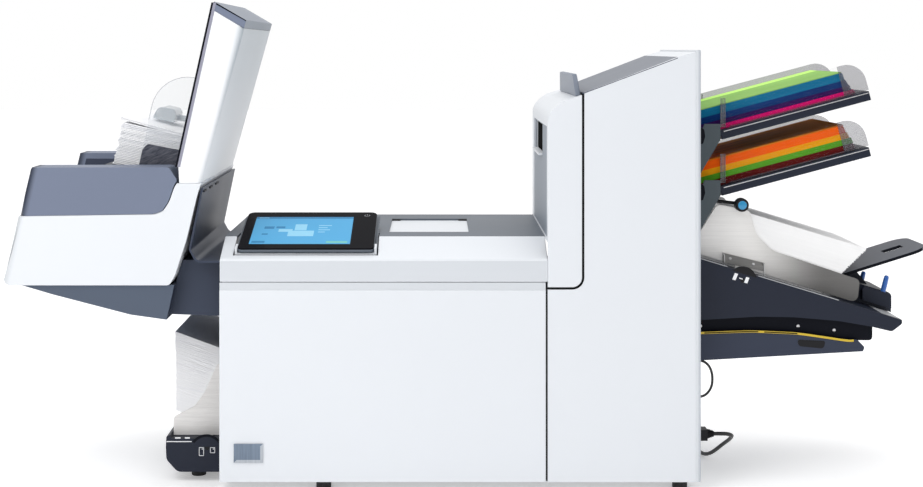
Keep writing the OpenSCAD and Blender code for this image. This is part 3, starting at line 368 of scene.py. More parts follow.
# copy of a solid with its seams merged and its edges rounded, some of them more than the rest
def softCopy(node, look, width=1.0, segments=3, rounds=(), arcs=False):
    bm = bmesh.new()
    bm.from_mesh(nodes[node].data)
    bmesh.ops.remove_doubles(bm, verts=bm.verts, dist=0.02 * mm)
    bmesh.ops.dissolve_limit(bm, angle_limit=math.radians(0.4), verts=bm.verts, edges=bm.edges)
    for test, roundWidth, roundSegments in rounds:
        roundEdges(bm, [e for e in sharpEdges(bm) if test(e)], roundWidth, roundSegments, False)
    if arcs:
        smoothArcs(bm)
    return finishPiece(node + "Shell", bm, look, width, segments, bodyOf[node], (node,))


def paintNodes(look, *painted):
    for node in painted:
        mesh = nodes[node].data
        mesh.materials.clear()
        mesh.materials.append(finish[look])


def cornerArc(p, a, b, radius, steps=8):
    p, a, b = Vector(p), Vector(a), Vector(b)
    u = (a - p).normalized()
    v = (b - p).normalized()
    half = u.angle(v) / 2
    centre = p + (u + v).normalized() * radius / math.sin(half)
    start = p + u * radius / math.tan(half) - centre
    end = p + v * radius / math.tan(half) - centre
    first = math.atan2(start.y, start.x)
    turn = (math.atan2(end.y, end.x) - first + math.pi) % (2 * math.pi) - math.pi
    arc = [first + turn * i / steps for i in range(steps + 1)]
    return [(centre.x + radius * math.cos(t), centre.y + radius * math.sin(t)) for t in arc]


# outline whose corners (x, y, radius) are rounded where they give a radius
def roundOutline(corners):
    points = []
    for i, c in enumerate(corners):
        if len(c) > 2:
            points += cornerArc(c[:2], corners[i - 1][:2], corners[(i + 1) % len(corners)][:2], c[2])
        else:
            points.append(tuple(c))
    return points


# prism of an outline in millimetres; axis names the direction that it is drawn out along
def addPrism(bm, corners, axis, low, high):
    def spot(p, w):
        return {"x": (w, p[0], p[1]), "y": (p[0], w, p[1]), "z": (p[0], p[1], w)}[axis]
    outline = roundOutline(corners)
    rings = [[bm.verts.new([c * mm for c in spot(p, w)]) for p in outline] for w in (low, high)]
    count = len(outline)
    bm.faces.new(rings[0])
    bm.faces.new(rings[1][::-1])
    for i in range(count):
        j = (i + 1) % count
        bm.faces.new((rings[0][i], rings[1][i], rings[1][j], rings[0][j]))


def rectangle(x0, y0, x1, y1):
    return [(x0, y0), (x1, y0), (x1, y1), (x0, y1)]


def addBlock(bm, low, high):
    addPrism(bm, rectangle(low[0], low[1], high[0], high[1]), "z", low[2], high[2])


# new mesh of prisms, each an outline with its two ends
def prismMesh(axis, *prisms):
    bm = bmesh.new()
    for corners, low, high in prisms:
        addPrism(bm, corners, axis, low, high)
    return bm


def blockMesh(*blocks):
    bm = bmesh.new()
    for low, high in blocks:
        addBlock(bm, low, high)
    return bm


# turned shape about an axis through a point, from (radius, distance along the axis) pairs in millimetres
def addTurned(bm, profile, centre, axis=(0, 1, 0), steps=48):
    turn = Vector((0, 0, 1)).rotation_difference(Vector(axis)).to_matrix()
    rings = []
    for radius, along in profile:
        ring = []
        for k in range(steps):
            a = 2 * math.pi * k / steps
            spot = turn @ Vector((radius * math.cos(a), radius * math.sin(a), along)) + Vector(centre)
            ring.append(bm.verts.new(spot * mm))
        rings.append(ring)
    for near, far in zip(rings, rings[1:]):
        for k in range(steps):
            n = (k + 1) % steps
            bm.faces.new((near[k], near[n], far[n], far[k]))
    bm.faces.new(rings[0][::-1])
    bm.faces.new(rings[-1])


# smooth round tube along points in millimetres
def tubeCurve(name, points, diameter, look):
    data = bpy.data.curves.new(name, "CURVE")
    data.dimensions = "3D"
    data.bevel_depth = diameter / 2 * mm
    data.bevel_resolution = 4
    data.use_fill_caps = True
    line = data.splines.new("POLY")
    line.points.add(len(points) - 1)
    for spot, p in zip(line.points, points):
        spot.co = (*[c * mm for c in p], 1)
    line.use_smooth = True
    data.materials.append(finish[look])
    piece = bpy.data.objects.new(name, data)
    scene.collection.objects.link(piece)
    return piece


# tube that is no cord, as a plain mesh
def tubePiece(name, points, diameter, look, body):
    piece = tubeCurve(name, points, diameter, look)
    mesh = evaluatedMesh(piece)
    curve = piece.data
    bpy.data.objects.remove(piece)
    bpy.data.curves.remove(curve)
    setOn(linkMesh(name, mesh), body)


# points along a smooth curve through the given ones, so that bends are round
def smoothRoute(points, between=3):
    spots = [Vector(p) for p in points]
    route = []
    for i in range(len(spots) - 1):
        before = spots[max(i - 1, 0)]
        here, ahead = spots[i], spots[i + 1]
        after = spots[min(i + 2, len(spots) - 1)]
        for k in range(between):
            t = k / between
            square = 2 * before - 5 * here + 4 * ahead - after
            cube = 3 * here - before - 3 * ahead + after
            route.append(0.5 * (2 * here + (ahead - before) * t + square * t ** 2 + cube * t ** 3))
    return route + [spots[-1]]


# geometry node trees; each ends by making its instances real and dressing them
def geometryTree(name, inputs):
    return newGroup(name, "GeometryNodeTree", [("Geometry", "Geometry", None)] + inputs
                    + [("Material", "Material", None)], [("Geometry", "Geometry", None)])


def closeTree(tree, given, sink, geometry):
    real = addNode(tree, "GeometryNodeRealizeInstances", (500, 0), {"Geometry": geometry})
    dress = addNode(tree, "GeometryNodeSetMaterial", (700, 0), {
        "Geometry": real.outputs["Geometry"], "Material": given["Material"]})
    fillInputs(tree, sink, {"Geometry": dress.outputs["Geometry"]})
    return tree


# random vector between a limit and its opposite
def addJog(tree, place, limit, seed):
    least = addNode(tree, "ShaderNodeVectorMath", (place[0] - 200, place[1]), {0: limit, "Scale": -1.0},
                    operation="SCALE")
    return addNode(tree, "FunctionNodeRandomValue", place, {
        "Min": least.outputs[0], "Max": limit, "Seed": seed}, data_type="FLOAT_VECTOR").outputs["Value"]


# pile of sheets or envelopes, each shifted and turned a little
def buildPileTree():
    tree, given, sink = geometryTree("sheetPile", [
        ("Sheet", "Object", None), ("Count", "Int", 20), ("Pitch", "Float", 0.001), ("Slant", "Float", 0.0),
        ("Shift", "Vector", (0.0, 0.0, 0.0)), ("Twist", "Float", 0.0), ("Seed", "Int", 1)])
    step = addNode(tree, "ShaderNodeCombineXYZ", (-700, 200), {"X": given["Slant"], "Z": given["Pitch"]})
    line = addNode(tree, "GeometryNodeMeshLine", (-500, 200), {
        "Count": given["Count"], "Offset": step.outputs["Vector"]})
    jog = addJog(tree, (-300, -100), given["Shift"], given["Seed"])
    move = addNode(tree, "GeometryNodeSetPosition", (-100, 200), {
        "Geometry": line.outputs["Mesh"], "Offset": jog})
    most = addNode(tree, "ShaderNodeCombineXYZ", (-500, -300), {"Z": given["Twist"]})
    turn = addJog(tree, (-100, -300), most.outputs["Vector"], given["Seed"])
    shape = addNode(tree, "GeometryNodeObjectInfo", (-100, -500), {"Object": given["Sheet"]})
    spread = addNode(tree, "GeometryNodeInstanceOnPoints", (200, 0), {
        "Points": move.outputs["Geometry"], "Instance": shape.outputs["Geometry"], "Rotation": turn})
    return closeTree(tree, given, sink, spread.outputs["Instances"])


# one small shape at every point of the base mesh, turned so that its Z looks along the point's facing
def buildScatterTree():
    tree, given, sink = geometryTree("scatter", [("Shape", "Object", None), ("Size", "Float", 1.0)])
    facing = addNode(tree, "GeometryNodeInputNamedAttribute", (-500, -200), {"Name": "facing"},
                     data_type="FLOAT_VECTOR")
    turn = addNode(tree, "FunctionNodeAlignRotationToVector", (-300, -200), {
        "Vector": facing.outputs["Attribute"]}, axis="Z")
    shape = addNode(tree, "GeometryNodeObjectInfo", (-300, -400), {"Object": given["Shape"]})
    spread = addNode(tree, "GeometryNodeInstanceOnPoints", (0, 0), {
        "Points": given["Geometry"], "Instance": shape.outputs["Geometry"],
        "Rotation": turn.outputs["Rotation"], "Scale": given["Size"]})
    return closeTree(tree, given, sink, spread.outputs["Instances"])


pileTree = buildPileTree()
scatterTree = buildScatterTree()
usedShapes = []


# runs a tree on a base mesh, keeps the result as a plain mesh and sets it on its body
def runTree(tree, name, look, values, body="chassis", base=None, place=None, replaced=()):
    piece = linkMesh(name, base or bpy.data.meshes.new(name))
    modifier = piece.modifiers.new("tree", "NODES")
    modifier.node_group = tree
    values = dict(values, Material=finish[look])
    for item in tree.interface.items_tree:
        if item.in_out == "INPUT" and item.name in values:
            modifier[item.identifier] = values[item.name]
    settle(piece)
    if place is not None:
        piece.data.transform(place)
    return setOn(piece, body, replaced)


# a shape that only the trees use, taken away once they have run
def hiddenShape(name, bm, width=0.0):
    shape = linkMesh(name, meshOf(name, bm, width))
    usedShapes.append(shape)
    return shape


def flatShape(name, length, width, thick, edge=0.0):
    return hiddenShape(name, blockMesh(((-length / 2, -width / 2, 0), (length / 2, width / 2, thick))), edge)


def makePile(name, look, shape, count, pitch, place, seed, slant=0.0, shift=(0.0, 0.0), twist=0.0,
             replaced=()):
    values = {"Sheet": shape, "Count": count, "Pitch": pitch * mm, "Slant": slant * mm,
              "Shift": (shift[0] * mm, shift[1] * mm, 0.0), "Twist": twist, "Seed": seed}
    runTree(pileTree, name, look, values, place=place, replaced=replaced)


# copies of a small shape at spots, each given with the way it faces
def scatter(name, look, shape, spots, size=1.0, body="chassis"):
    mesh = bpy.data.meshes.new(name + "Spots")
    mesh.from_pydata([[c * mm for c in spot] for spot, facing in spots], [], [])
    attribute = mesh.attributes.new("facing", "FLOAT_VECTOR", "POINT")
    for datum, (spot, facing) in zip(attribute.data, spots):
        datum.vector = facing
    runTree(scatterTree, name, look, {"Shape": shape, "Size": size}, body, mesh)


# cables: routes in millimetres, v to the right of the tower, y behind the machine's front, z above the desk
lead = {"diameter": 6.4, "coilAt": (-100.0, 459.0), "coilR": 44.0, "coilZ": 4.6, "gap": 0.6, "turns": 5.5,
        "end": 45.0, "perTurn": 48, "route": [
            (38, 100, 68), (49, 100, 68), (59, 103, 67), (67, 109, 64), (71, 118, 60), (71, 129, 54),
            (69, 141, 47), (65, 154, 39), (60, 167, 30), (55, 180, 21), (50, 193, 13), (45, 207, 7),
            (41, 222, 4), (38, 238, 3.3), (36, 254, 3.3), (35, 270, 3.3), (34, 286, 3.3), (33, 302, 3.3),
            (32, 318, 3.3), (32, 334, 3.3), (32, 350, 3.3), (32, 366, 3.3), (32, 382, 3.3), (29, 396, 3.3),
            (21, 407, 3.3), (9, 413, 3.3), (-5, 415, 3.3), (-20, 415, 3.3), (-35, 415, 3.5), (-50, 415, 4),
            (-65, 415, 4.4), (-80, 415, 4.6), (-93.6, 415, 4.6)]}
linkLoop = {"diameter": 4.0, "route": [
    (0, 62, 196), (8, 62, 196), (17, 62, 193), (24, 62, 186), (28, 62, 176), (29, 62, 166), (28, 62, 156),
    (24, 62, 147), (17, 62, 140), (8, 62, 137), (0, 62, 137)]}
coilTie = {"across": (24.0, 46.6), "up": (0.9, 15.4), "thick": 0.8, "half": 3.5}
strainRibs = {"along": (28.0, 30.6, 33.2, 35.8), "at": (100, 68), "cone": (25.0, 8.0, 4 / 13)}


def rowSpot(p):
    return Vector((towerRight + p[0], frontY + p[1], p[2]))


def coilPoint(t):
    pitch = lead["diameter"] + lead["gap"]
    half = lead["turns"] / 2
    r = lead["coilR"] - pitch * (half - abs(t - half))
    climb = min(1, max(0, (t - half + 0.25) / 0.5))
    a = math.radians(-90 - 360 * t)
    x, y = lead["coilAt"]
    return (x + r * math.cos(a), y + r * math.sin(a), lead["coilZ"] + pitch * climb)


# strap round the coil's left side
def makeCoilTie():
    x, y = lead["coilAt"]
    (near, far), (low, high) = coilTie["across"], coilTie["up"]
    thick, half = coilTie["thick"], coilTie["half"]
    walls = ((near, far, low - thick, low), (near, far, high, high + thick),
             (near - thick, near, low - thick, high + thick), (far, far + thick, low - thick, high + thick))
    blocks = [(rowSpot((x - r1, y - half, z0)), rowSpot((x - r0, y + half, z1))) for r0, r1, z0, z1 in walls]
    return finishPiece("coilTie", blockMesh(*blocks), "rubber", 0.2)


def makeConnector():
    softCopy("mains_connector", "blackPlasticAndShade", 1.0)
    start, wide, taper = strainRibs["cone"]
    bm = bmesh.new()
    for along in strainRibs["along"]:
        cone = wide - (along - start) * taper
        addTurned(bm, [(cone + 0.5, 0), (cone + 0.9, 0.4), (cone + 0.8, 1.0), (cone + 0.3, 1.4)],
                  rowSpot((along, *strainRibs["at"])), (1, 0, 0), 32)
    finishPiece("strainRibs", bm, "blackPlasticAndShade", 0)


def makeCord(name, route, diameter, replaced, **facts):
    piece = setOn(tubeCurve(name, route, diameter, "cable"), "chassis", replaced)


def makeCords():
    plug = softCopy("mains_plug", "cable", 0.9)
    tie = makeCoilTie()
    x, y = lead["coilAt"]
    steps = round(lead["turns"] * lead["perTurn"])
    loops = [coilPoint(i / lead["perTurn"]) for i in range(steps + 1)]
    tail = [(x + d, y + lead["coilR"], loops[-1][2]) for d in (15, 30, lead["end"])]
    route = smoothRoute([rowSpot(p) for p in lead["route"]]) + [rowSpot(p) for p in loops + tail]
    makeCord("mainsLead", route, lead["diameter"], ("mains_lead", "mains_coil"), far_end="plug",
             stiffness="medium", lay="coiled", with_pieces=[plug, tie])
    makeCord("linkCable", smoothRoute([rowSpot(p) for p in linkLoop["route"]], 4), linkLoop["diameter"],
             ("link_cable",), far_end="object", stiffness="stiff", lay="loose")
    makeConnector()
    print("cords made")


makeCords()


# tests for an edge: both ends at one place along an axis, and two tests in one
def edgeNear(axis, value, within=0.3):
    spot = "xyz".index(axis)
    return lambda e: all(abs(v.co[spot] - value * mm) < within * mm for v in e.verts)


def bothTests(first, second):
    return lambda e: first(e) and second(e)


# main body
frontLook = {"strip": 13.0, "recess": 1.6, "seam": 2.6, "lipTop": 1.2, "lipDepth": 6.0, "bevel": 0.7}


def makeFrontPanel():
    low, high = boxMm("front_panel")
    y = low.y
    lipZ = seamZ - frontLook["lipTop"]
    stripZ = lipZ - frontLook["strip"]
    back = y + frontLook["recess"]
    outline = [(y, low.z), (y, stripZ), (back, stripZ + 1.0), (back, lipZ),
               (back + frontLook["lipDepth"], lipZ), (y + 3, stripZ - 6), (y + 3, low.z)]
    bm = prismMesh("x", (outline, low.x, high.x - frontLook["seam"]))
    panel = finishPiece("frontPanel", bm, "panelWhite", frontLook["bevel"], 3,
                        replaced=("front_panel",))
    # painted shade: the recessed strip under the cover takes the darker white, and so does the backing behind the
    # seam
    tintFaces(panel, "panelShade", lambda c, n: n.y < -0.8 and c.z > stripZ + 0.8)
    finishPiece("seamBacking", blockMesh(((low.x + 5, y + 5, lipZ - 5), (high.x - 9, y + 6.2, lipZ + 6))),
                "panelShade", 0)


badge = {"left": 23.0, "bottom": 47.0, "width": 46.0, "height": 30.0, "proud": 2.2, "rim": 1.2, "facet": 6.0,
         "sunk": 1.5}


# bare silver plate on the front panel, with sloping facets round a flat field
def makeBadge():
    x = bodyLeft + badge["left"]
    outline = rectangle(x, badge["bottom"], x + badge["width"], badge["bottom"] + badge["height"])
    bm = prismMesh("y", (outline, frontY - badge["proud"], frontY + 0.4))
    face = min(bm.faces, key=lambda f: f.calc_center_median().y)
    bmesh.ops.inset_region(bm, faces=[face], thickness=badge["rim"] * mm)
    bmesh.ops.inset_region(bm, faces=[face], thickness=badge["facet"] * mm, depth=-badge["sunk"] * mm)
    plate = finishPiece("badgePlate", bm, "badgeRim", 0)
    # the flat field takes the darker finish, and so do the facets at its top and left as painted shade; the facets
    # at its bottom and right keep the rim's lighter finish
    tintFaces(plate, "badgeField", lambda c, n: c.y > frontY - 2.1 and n.y < -0.5
              and (n.z < -0.1 or n.x > 0.1 or n.y < -0.99))


liner = {"behind": 5.0, "thick": 1.5, "seam": 8.0, "door": (54.6, 64.0), "sill": (312.0, 322.0)}


# black strips behind the seams, so that no light comes through them
def makeSeamLiners():
    x, y = seamX, frontY + liner["behind"]
    back = y + liner["thick"]
    near, far = liner["door"]
    low, high = liner["sill"]
    floorZ = boxMm("front_panel")[0].z
    doorTop = boxMm("door_shell")[1].z
    strips = blockMesh(((x - liner["seam"], y - 2, floorZ + 1), (x + 3, back - 2, low)),
                       ((x - liner["seam"], y, low), (x + far, back, high)),
                       ((x + near, y, high), (x + far, back, doorTop)))
    finishPiece("seamLiners", strips, "shadeBlack", 0.2, 1)


def makeBody():
    makeFrontPanel()
    makeBadge()
    makeSeamLiners()
    softCopy("rear_cover", "panelWhite", 0.9)
    softCopy("end_plate", "darkPlastic", 0.6)
    softCopy("base_tray", "plateSteel", 0.6)
    paintNodes("plateSteel", "side_frames", "fold_plates", "tower_frame")
    paintNodes("rubber", "fold_roller_upper", "fold_roller_lower", "envelope_feed_roller", "main_feed_roller",
               "upper_feed_roller", "lower_feed_roller")
    paintNodes("blackPlasticAndShade", "drive_motor")
    paintNodes("board", "electronics")
    print("body made")


makeBody()

# lifting cover
display = {"width": 218.0, "front": -4.5, "back": 160.0, "thick": 7.2, "slope": 14.6, "pivot": (4.0, 4.0),
           "corners": (8, 12), "stub": 3.7, "glassFrom": 4.8, "screen": (16.5, 15.0, 178.5, 136.0),
           "icon": (201.0, 143.0, 4.6)}
screenTiles = [  # place and size along the screen, 0 to 1, and the finish of each generic tile
    (0.00, 0.93, 1.00, 0.07, "screenDeep"), (0.03, 0.955, 0.10, 0.02, "screenPale"),
    (0.11, 0.55, 0.10, 0.09, "screenDeep"), (0.23, 0.57, 0.09, 0.07, "screenDeep"),
    (0.26, 0.44, 0.14, 0.10, "screenPale"), (0.42, 0.50, 0.12, 0.22, "screenPale"),
    (0.48, 0.34, 0.09, 0.09, "screenDeep"), (0.36, 0.28, 0.26, 0.20, "screenPale"),
    (0.66, 0.66, 0.13, 0.025, "screenPale"), (0.66, 0.58, 0.09, 0.025, "screenPale"),
    (0.66, 0.50, 0.12, 0.025, "screenPale"), (0.66, 0.42, 0.07, 0.025, "screenPale"),
    (0.10, 0.33, 0.06, 0.05, "screenDeep"), (0.02, 0.04, 0.13, 0.07, "screenDeep"),
    (0.76, 0.04, 0.21, 0.06, "screenGreen")]


def displayPlace():
    pivot = next(j for j in frame["joints"] if j["name"] == "display_tilt")
    turn = turned(display["slope"], "X")
    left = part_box("display")[0].x + display["stub"] * mm
    corner = Vector(pivot["pos_m"]) - turn @ (Vector((0, *display["pivot"])) * mm)
    return Matrix.Translation((left, corner.y, corner.z)) @ turn


def displayOutline(inset):
    left, right = inset, display["width"] - inset
    low, high = display["front"] + inset, display["back"] - inset
    near, far = (radius - inset for radius in display["corners"])
    return [(left, low, near), (right, low, near), (right, high, far), (left, high, far)]


def makeDisplay():
    place = displayPlace()
    z = display["thick"]

    def screenPiece(name, bm, look, width=0.0, replaced=()):
        finishPiece(name, bm, look, width, 3, "touch_display", replaced, place)

    glass = display["glassFrom"]
    screenPiece("displayCase", prismMesh("z", (displayOutline(0), 0, glass)), "topGrey", 1.2, ("display",))
    screenPiece("displayGlass", prismMesh("z", (displayOutline(0.9), glass, z)), "screenGlass", 0.7)
    x0, y0, x1, y1 = display["screen"]
    screenPiece("displayScreen", prismMesh("z", (rectangle(x0, y0, x1, y1), z - 0.3, z + 0.05)), "screenBlue")
    for look in sorted({tile[4] for tile in screenTiles}):
        bm = bmesh.new()
        for layer, (u, v, w, h, own) in enumerate(screenTiles):
            if own == look:
                left, low = x0 + u * (x1 - x0), y0 + v * (y1 - y0)
                top = z + 0.07 + layer * 0.002
                addBlock(bm, (left, low, z), (left + w * (x1 - x0), low + h * (y1 - y0), top))
        screenPiece("displayTiles" + look[6:], bm, look)
    screenPiece("displayPowerMark", powerMark(), "printGrey")


# ring with a gap and a bar, the usual power sign
def powerMark():
    x, y, r = display["icon"]
    z = display["thick"]
    steps = 28
    gap = math.radians(38)
    bm = bmesh.new()
    ring = []
    for i in range(steps + 1):
        a = math.pi / 2 + gap + (2 * math.pi - 2 * gap) * i / steps
        ring.append([bm.verts.new(((x + s * math.cos(a)) * mm, (y + s * math.sin(a)) * mm, (z + 0.06) * mm))
                     for s in (r, r - 0.9)])
    for a, b in zip(ring, ring[1:]):
        bm.faces.new((a[0], b[0], b[1], a[1]))
    addBlock(bm, (x - 0.45, y + 0.5, z), (x + 0.45, y + r + 0.6, z + 0.06))
    return bm


# painted shade: small black blocks at the top insert's rear corners stand in for the shade of notches there
insertTabs = {"width": 15.0, "deep": 6.0, "high": 2.4, "rim": 6.0}


def makeInsertShades():
    low, high = boxMm("top_insert")
    back = high.y - insertTabs["rim"]
    wide = insertTabs["width"]
    front, top = back - insertTabs["deep"], high.z + insertTabs["high"]
    cornerShades = [((x, front, high.z - 0.5), (x + wide, back + 0.2, top))
            for x in (low.x + insertTabs["rim"], high.x - insertTabs["rim"] - wide)]
    finishPiece("insertTabs", blockMesh(*cornerShades), "blackPlasticAndShade", 0.4, body="upper_cover")


windowLiner = {"inset": 4.2, "deep": 30.0, "wall": 1.0, "y": (-71.0, 101.0), "z": (521.0, 578.0)}


# black pocket behind the window in the door, which paints the shade inside it
def makeWindowLiner():
    near = boxMm("door_face")[0].x + windowLiner["inset"]
    far = near + windowLiner["deep"]
    (y0, y1), (z0, z1), wall = windowLiner["y"], windowLiner["z"], windowLiner["wall"]
    walls = [((far, y0, z0), (far + wall, y1, z1))]
    walls += [((near, y, z0), (far, y + wall, z1)) for y in (y0, y1 - wall)]
    walls += [((near, y0, z), (far + wall, y1, z + wall)) for z in (z0 - wall, z1)]
    finishPiece("windowLiner", blockMesh(*walls), "shadeBlack", 0, body="upper_cover")


# shift of each end of the grip paddle along Y, at its foot and at its top
paddle = {"front": (20.0, -16.0), "rear": (-55.0, -98.0)}


# grip paddle, its rear end sloping more than its front
def makePaddle():
    low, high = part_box("grip_paddle")
    piece = softCopy("grip_paddle", "capGrey", 1.6)
    for v in piece.data.vertices:
        up = (v.co.z - low.z) / (high.z - low.z)
        foot, top = paddle["front" if v.co.y < 0 else "rear"]
        v.co.y += (foot * (1 - up) + top * up) * mm


doorMargin = {"rear": 40.0, "top": 9.0, "gap": 5.0}


# white margin along the top and the rear of the door's grey face, and a dark strip at its front that paints the
# shade of the gap there
def makeDoorMargin():
    low, high = boxMm("door_face")
    rear, top = high.y - doorMargin["rear"], high.z - doorMargin["top"]
    margin = blockMesh(((low.x - 0.6, rear, low.z), (low.x + 0.5, high.y + 0.3, high.z + 0.3)),
                       ((low.x - 0.6, low.y - 0.3, top), (low.x + 0.5, rear, high.z + 0.3)))
    finishPiece("doorMargin", margin, "panelWhite", 0.2, 1, "upper_cover")
    gap = blockMesh(((low.x - 0.2, low.y, low.z), (low.x + 0.3, low.y + doorMargin["gap"], top)))
    finishPiece("doorFaceGap", gap, "railDark", 0, body="upper_cover")


def makeCover():
    band = softCopy("cover_front", "panelWhite", 1.6)
    # painted shade: the band's upright front faces take the darker white
    tintFaces(band, "panelShade", lambda c, n: n.y < -0.97)
    top = softCopy("cover_panel", "topGrey", 0.7)
    low, high = boxMm("display")
    tintFaces(top, "panelWhite", lambda c, n: c.y < frontY + 66 and low.x - 9 < c.x < high.x + 9)
    softCopy("top_insert", "panelWhite", 0.5)
    doorEdge = bothTests(edgeNear("x", seamX), edgeNear("y", frontY))
    softCopy("door_shell", "panelWhite", 1.0, rounds=[(doorEdge, 2.4, 5)], arcs=True)
    softCopy("door_face", "panelGrey", 0.3, 2)
    makePaddle()
    makeDoorMargin()
    makeDisplay()
    makeInsertShades()
    makeWindowLiner()
    print("cover made")


makeCover()

# tower, with a dark line along the front edge of its sloping top
topLine = {"ends": [(162.0, 630.0), (313.0, 686.6)], "thick": 1.1}


def makeTower():
    (x0, z0), (x1, z1) = topLine["ends"]
    line = [(x0, z0 - topLine["thick"]), (x1, z1 - topLine["thick"]), (x1, z1), (x0, z0)]
    finishPiece("topLine", prismMesh("y", (line, frontY - 0.15, frontY + 1)), "railDark", 0)
    softCopy("tower_front_panel", "panelWhite", 1.0, arcs=True)
    side = softCopy("tower_side_frame", "panelWhite", 1.2)
    # painted shade: the side frame greys towards the tower's right edge
    side.data.materials[0] = shadedWhite("frameShade", (0.68, 0.705, 0.74), (0.45, 0.48, 0.525), (1, 0, 0),
                                         (towerRight - 7, towerRight - 0.5))
    top = softCopy("tower_top_panel", "slopeGrey", 0.6)
    tintFaces(top, "panelWhite", lambda c, n: c.x > towerRight - 37)
    print("tower made")


makeTower()

# sheet trays
trayLook = {"slope": 14.9, "foot": 53.0, "deckUp": 75.0, "bracket": 44.6, "bracketY": 125.6,
            "bracketWide": 14.0, "highlightHeights": (2.2, 3.6), "highlightEnds": (-4.0, 240.0), "highlightAt": (-125.5, 124.8),
            "guide": (2.0, 246.0), "guideHigh": 50.0, "pane": (108, 105.5), "flange": (114, 107),
            "smokedFrom": 205.0, "tab": (-6.0, 2.4), "tabHigh": (2.0, 50.0), "tabWall": 1.4}
sheet = {"length": 297.0, "width": 210.0, "end": 224.0, "thick": 0.8, "lit": 50.0}
# bands of a pile from below: finish, thickness and how far they stand back
upperBands = [("sheetPink", 7.5, 0.0), ("sheetPurple", 8.0, 5.0), ("sheetNavy", 10.0, 8.0),
              ("sheetTeal", 13.0, 11.0), ("sheetMoss", 1.5, 13.0)]
lowerBands = [("sheetRed", 11.0, 0.0), ("sheetGreen", 9.5, 1.0), ("sheetAmber", 9.5, 5.0),
              ("sheetOrange", 13.0, 8.0), ("sheetBrown", 2.0, 10.0)]
edgeLines = ((6.0, 6.0, 700.0), 0.1)
topStreaks = ((3.0, 110.0, 3.0), 0.02)
sheetColours = {  # dark and light tone, lines with their gloss
    "sheetPink": ((0.97, 0.0, 0.19), (1.0, 0.002, 0.25), edgeLines),
    "sheetPurple": ((0.028, 0.002, 0.085), (0.055, 0.005, 0.13), edgeLines),
    "sheetNavy": ((0.002, 0.026, 0.15), (0.004, 0.055, 0.24), edgeLines),
    "sheetTeal": ((0.003, 0.13, 0.28), (0.006, 0.22, 0.40), edgeLines),
    # sheetMoss and sheetLime are a darker and a lighter copy of the top sheets' green: painted shade and painted
    # light
    "sheetMoss": ((0.23, 0.46, 0.095), (0.28, 0.53, 0.125), edgeLines),
    "sheetLime": ((0.52, 0.88, 0.18), (0.60, 0.96, 0.24), edgeLines),
    "sheetRed": ((0.11, 0.002, 0.001), (0.19, 0.004, 0.002), edgeLines),
    "sheetGreen": ((0.08, 0.36, 0.015), (0.13, 0.46, 0.025), edgeLines),
    "sheetAmber": ((0.82, 0.33, 0.002), (0.93, 0.43, 0.004), edgeLines),
    "sheetOrange": ((0.92, 0.10, 0.001), (0.99, 0.15, 0.002), edgeLines),
    # sheetBrown's tones are raised so that the lower pile's top, under the upper tray, reads as lit: painted light
    "sheetBrown": ((0.50, 0.110, 0.006), (0.98, 0.31, 0.02), topStreaks)}
for name, (dark, light, (stretch, gloss)) in sheetColours.items():
    finish[name] = linedFinish(name, dark, light, stretch, 0.6, lean=trayLook["slope"], depth=0.15,
                               specular=gloss)


# the deck's frame: X up its slope, Z square to it, origin at its left end
def trayPlace(node):
    up = boxMm(node)[0].z + trayLook["deckUp"]
    return moved(towerRight + trayLook["foot"], 0, up) @ turned(-trayLook["slope"], "Y")


# one pile, built up of bands of coloured sheets
def makeBands(name, node, bands, seed):
    shape = flatShape(name + "Sheet", sheet["length"], sheet["width"], sheet["thick"] * 0.9)
    height = 0.0
    for i, (look, thick, back) in enumerate(bands):
        spot = moved(sheet["end"] - sheet["length"] / 2 - back, 0, height)
        count = round(thick / sheet["thick"])
        makePile(name + look[5:], look, shape, count, thick / count, trayPlace(node) @ spot, seed + i,
                 -0.12, (0.9, 0.35), replaced=() if i else ("sheet_piles",))
        height += thick


# side guide of a tray: clear beside the sheets, smoked from the piles' end to its tip
def makeTrayGuide(level, side, place):
    node = f"{level}_{side}_guide"
    turn = {"front": -1, "rear": 1}[side]
    near, far = trayLook["guide"]
    high = trayLook["guideHigh"]
    split = trayLook["smokedFrom"] if side == "front" else near

    def across(*ys):
        return sorted(turn * y for y in ys)

    def guidePiece(part, bm, look, width, place=place, replaced=()):
        finishPiece(node + part, bm, look, width, body=bodyOf[node], replaced=replaced, place=place)

    def slab(x0, x1, ys, z0, z1):
        return (x0, ys[0], z0), (x1, ys[1], z1)

    pane = across(*trayLook["pane"])
    bm = prismMesh("y", ([(split, 0.3), (far, 0.3), (far, high, 32), (split, high)], *pane))
    addBlock(bm, *slab(10, far - 10, across(*trayLook["flange"]), 0.3, 2.3))
    guidePiece("End", bm, "guideSmoked", 0.3, replaced=(node,))
    if side == "front":
        corners = [(near, 0.3), (split, 0.3), (split, high), (near, high, 3)]
        guidePiece("Pane", prismMesh("y", (corners, *pane)), "guideClear", 0)
    low, top = trayLook["tabHigh"]
    left, right = trayLook["tab"]
    wall = trayLook["tabWall"]
    face = trayLook["pane"][0]
    tab = blockMesh(*[slab(x, x + wall, across(face, face + 4), low, top) for x in (left, right - wall)],
                    slab(left, right, across(face, face + 1), low, top))
    guidePiece("Tab", tab, "guideTab", 0.2, Matrix.Translation(place.translation))


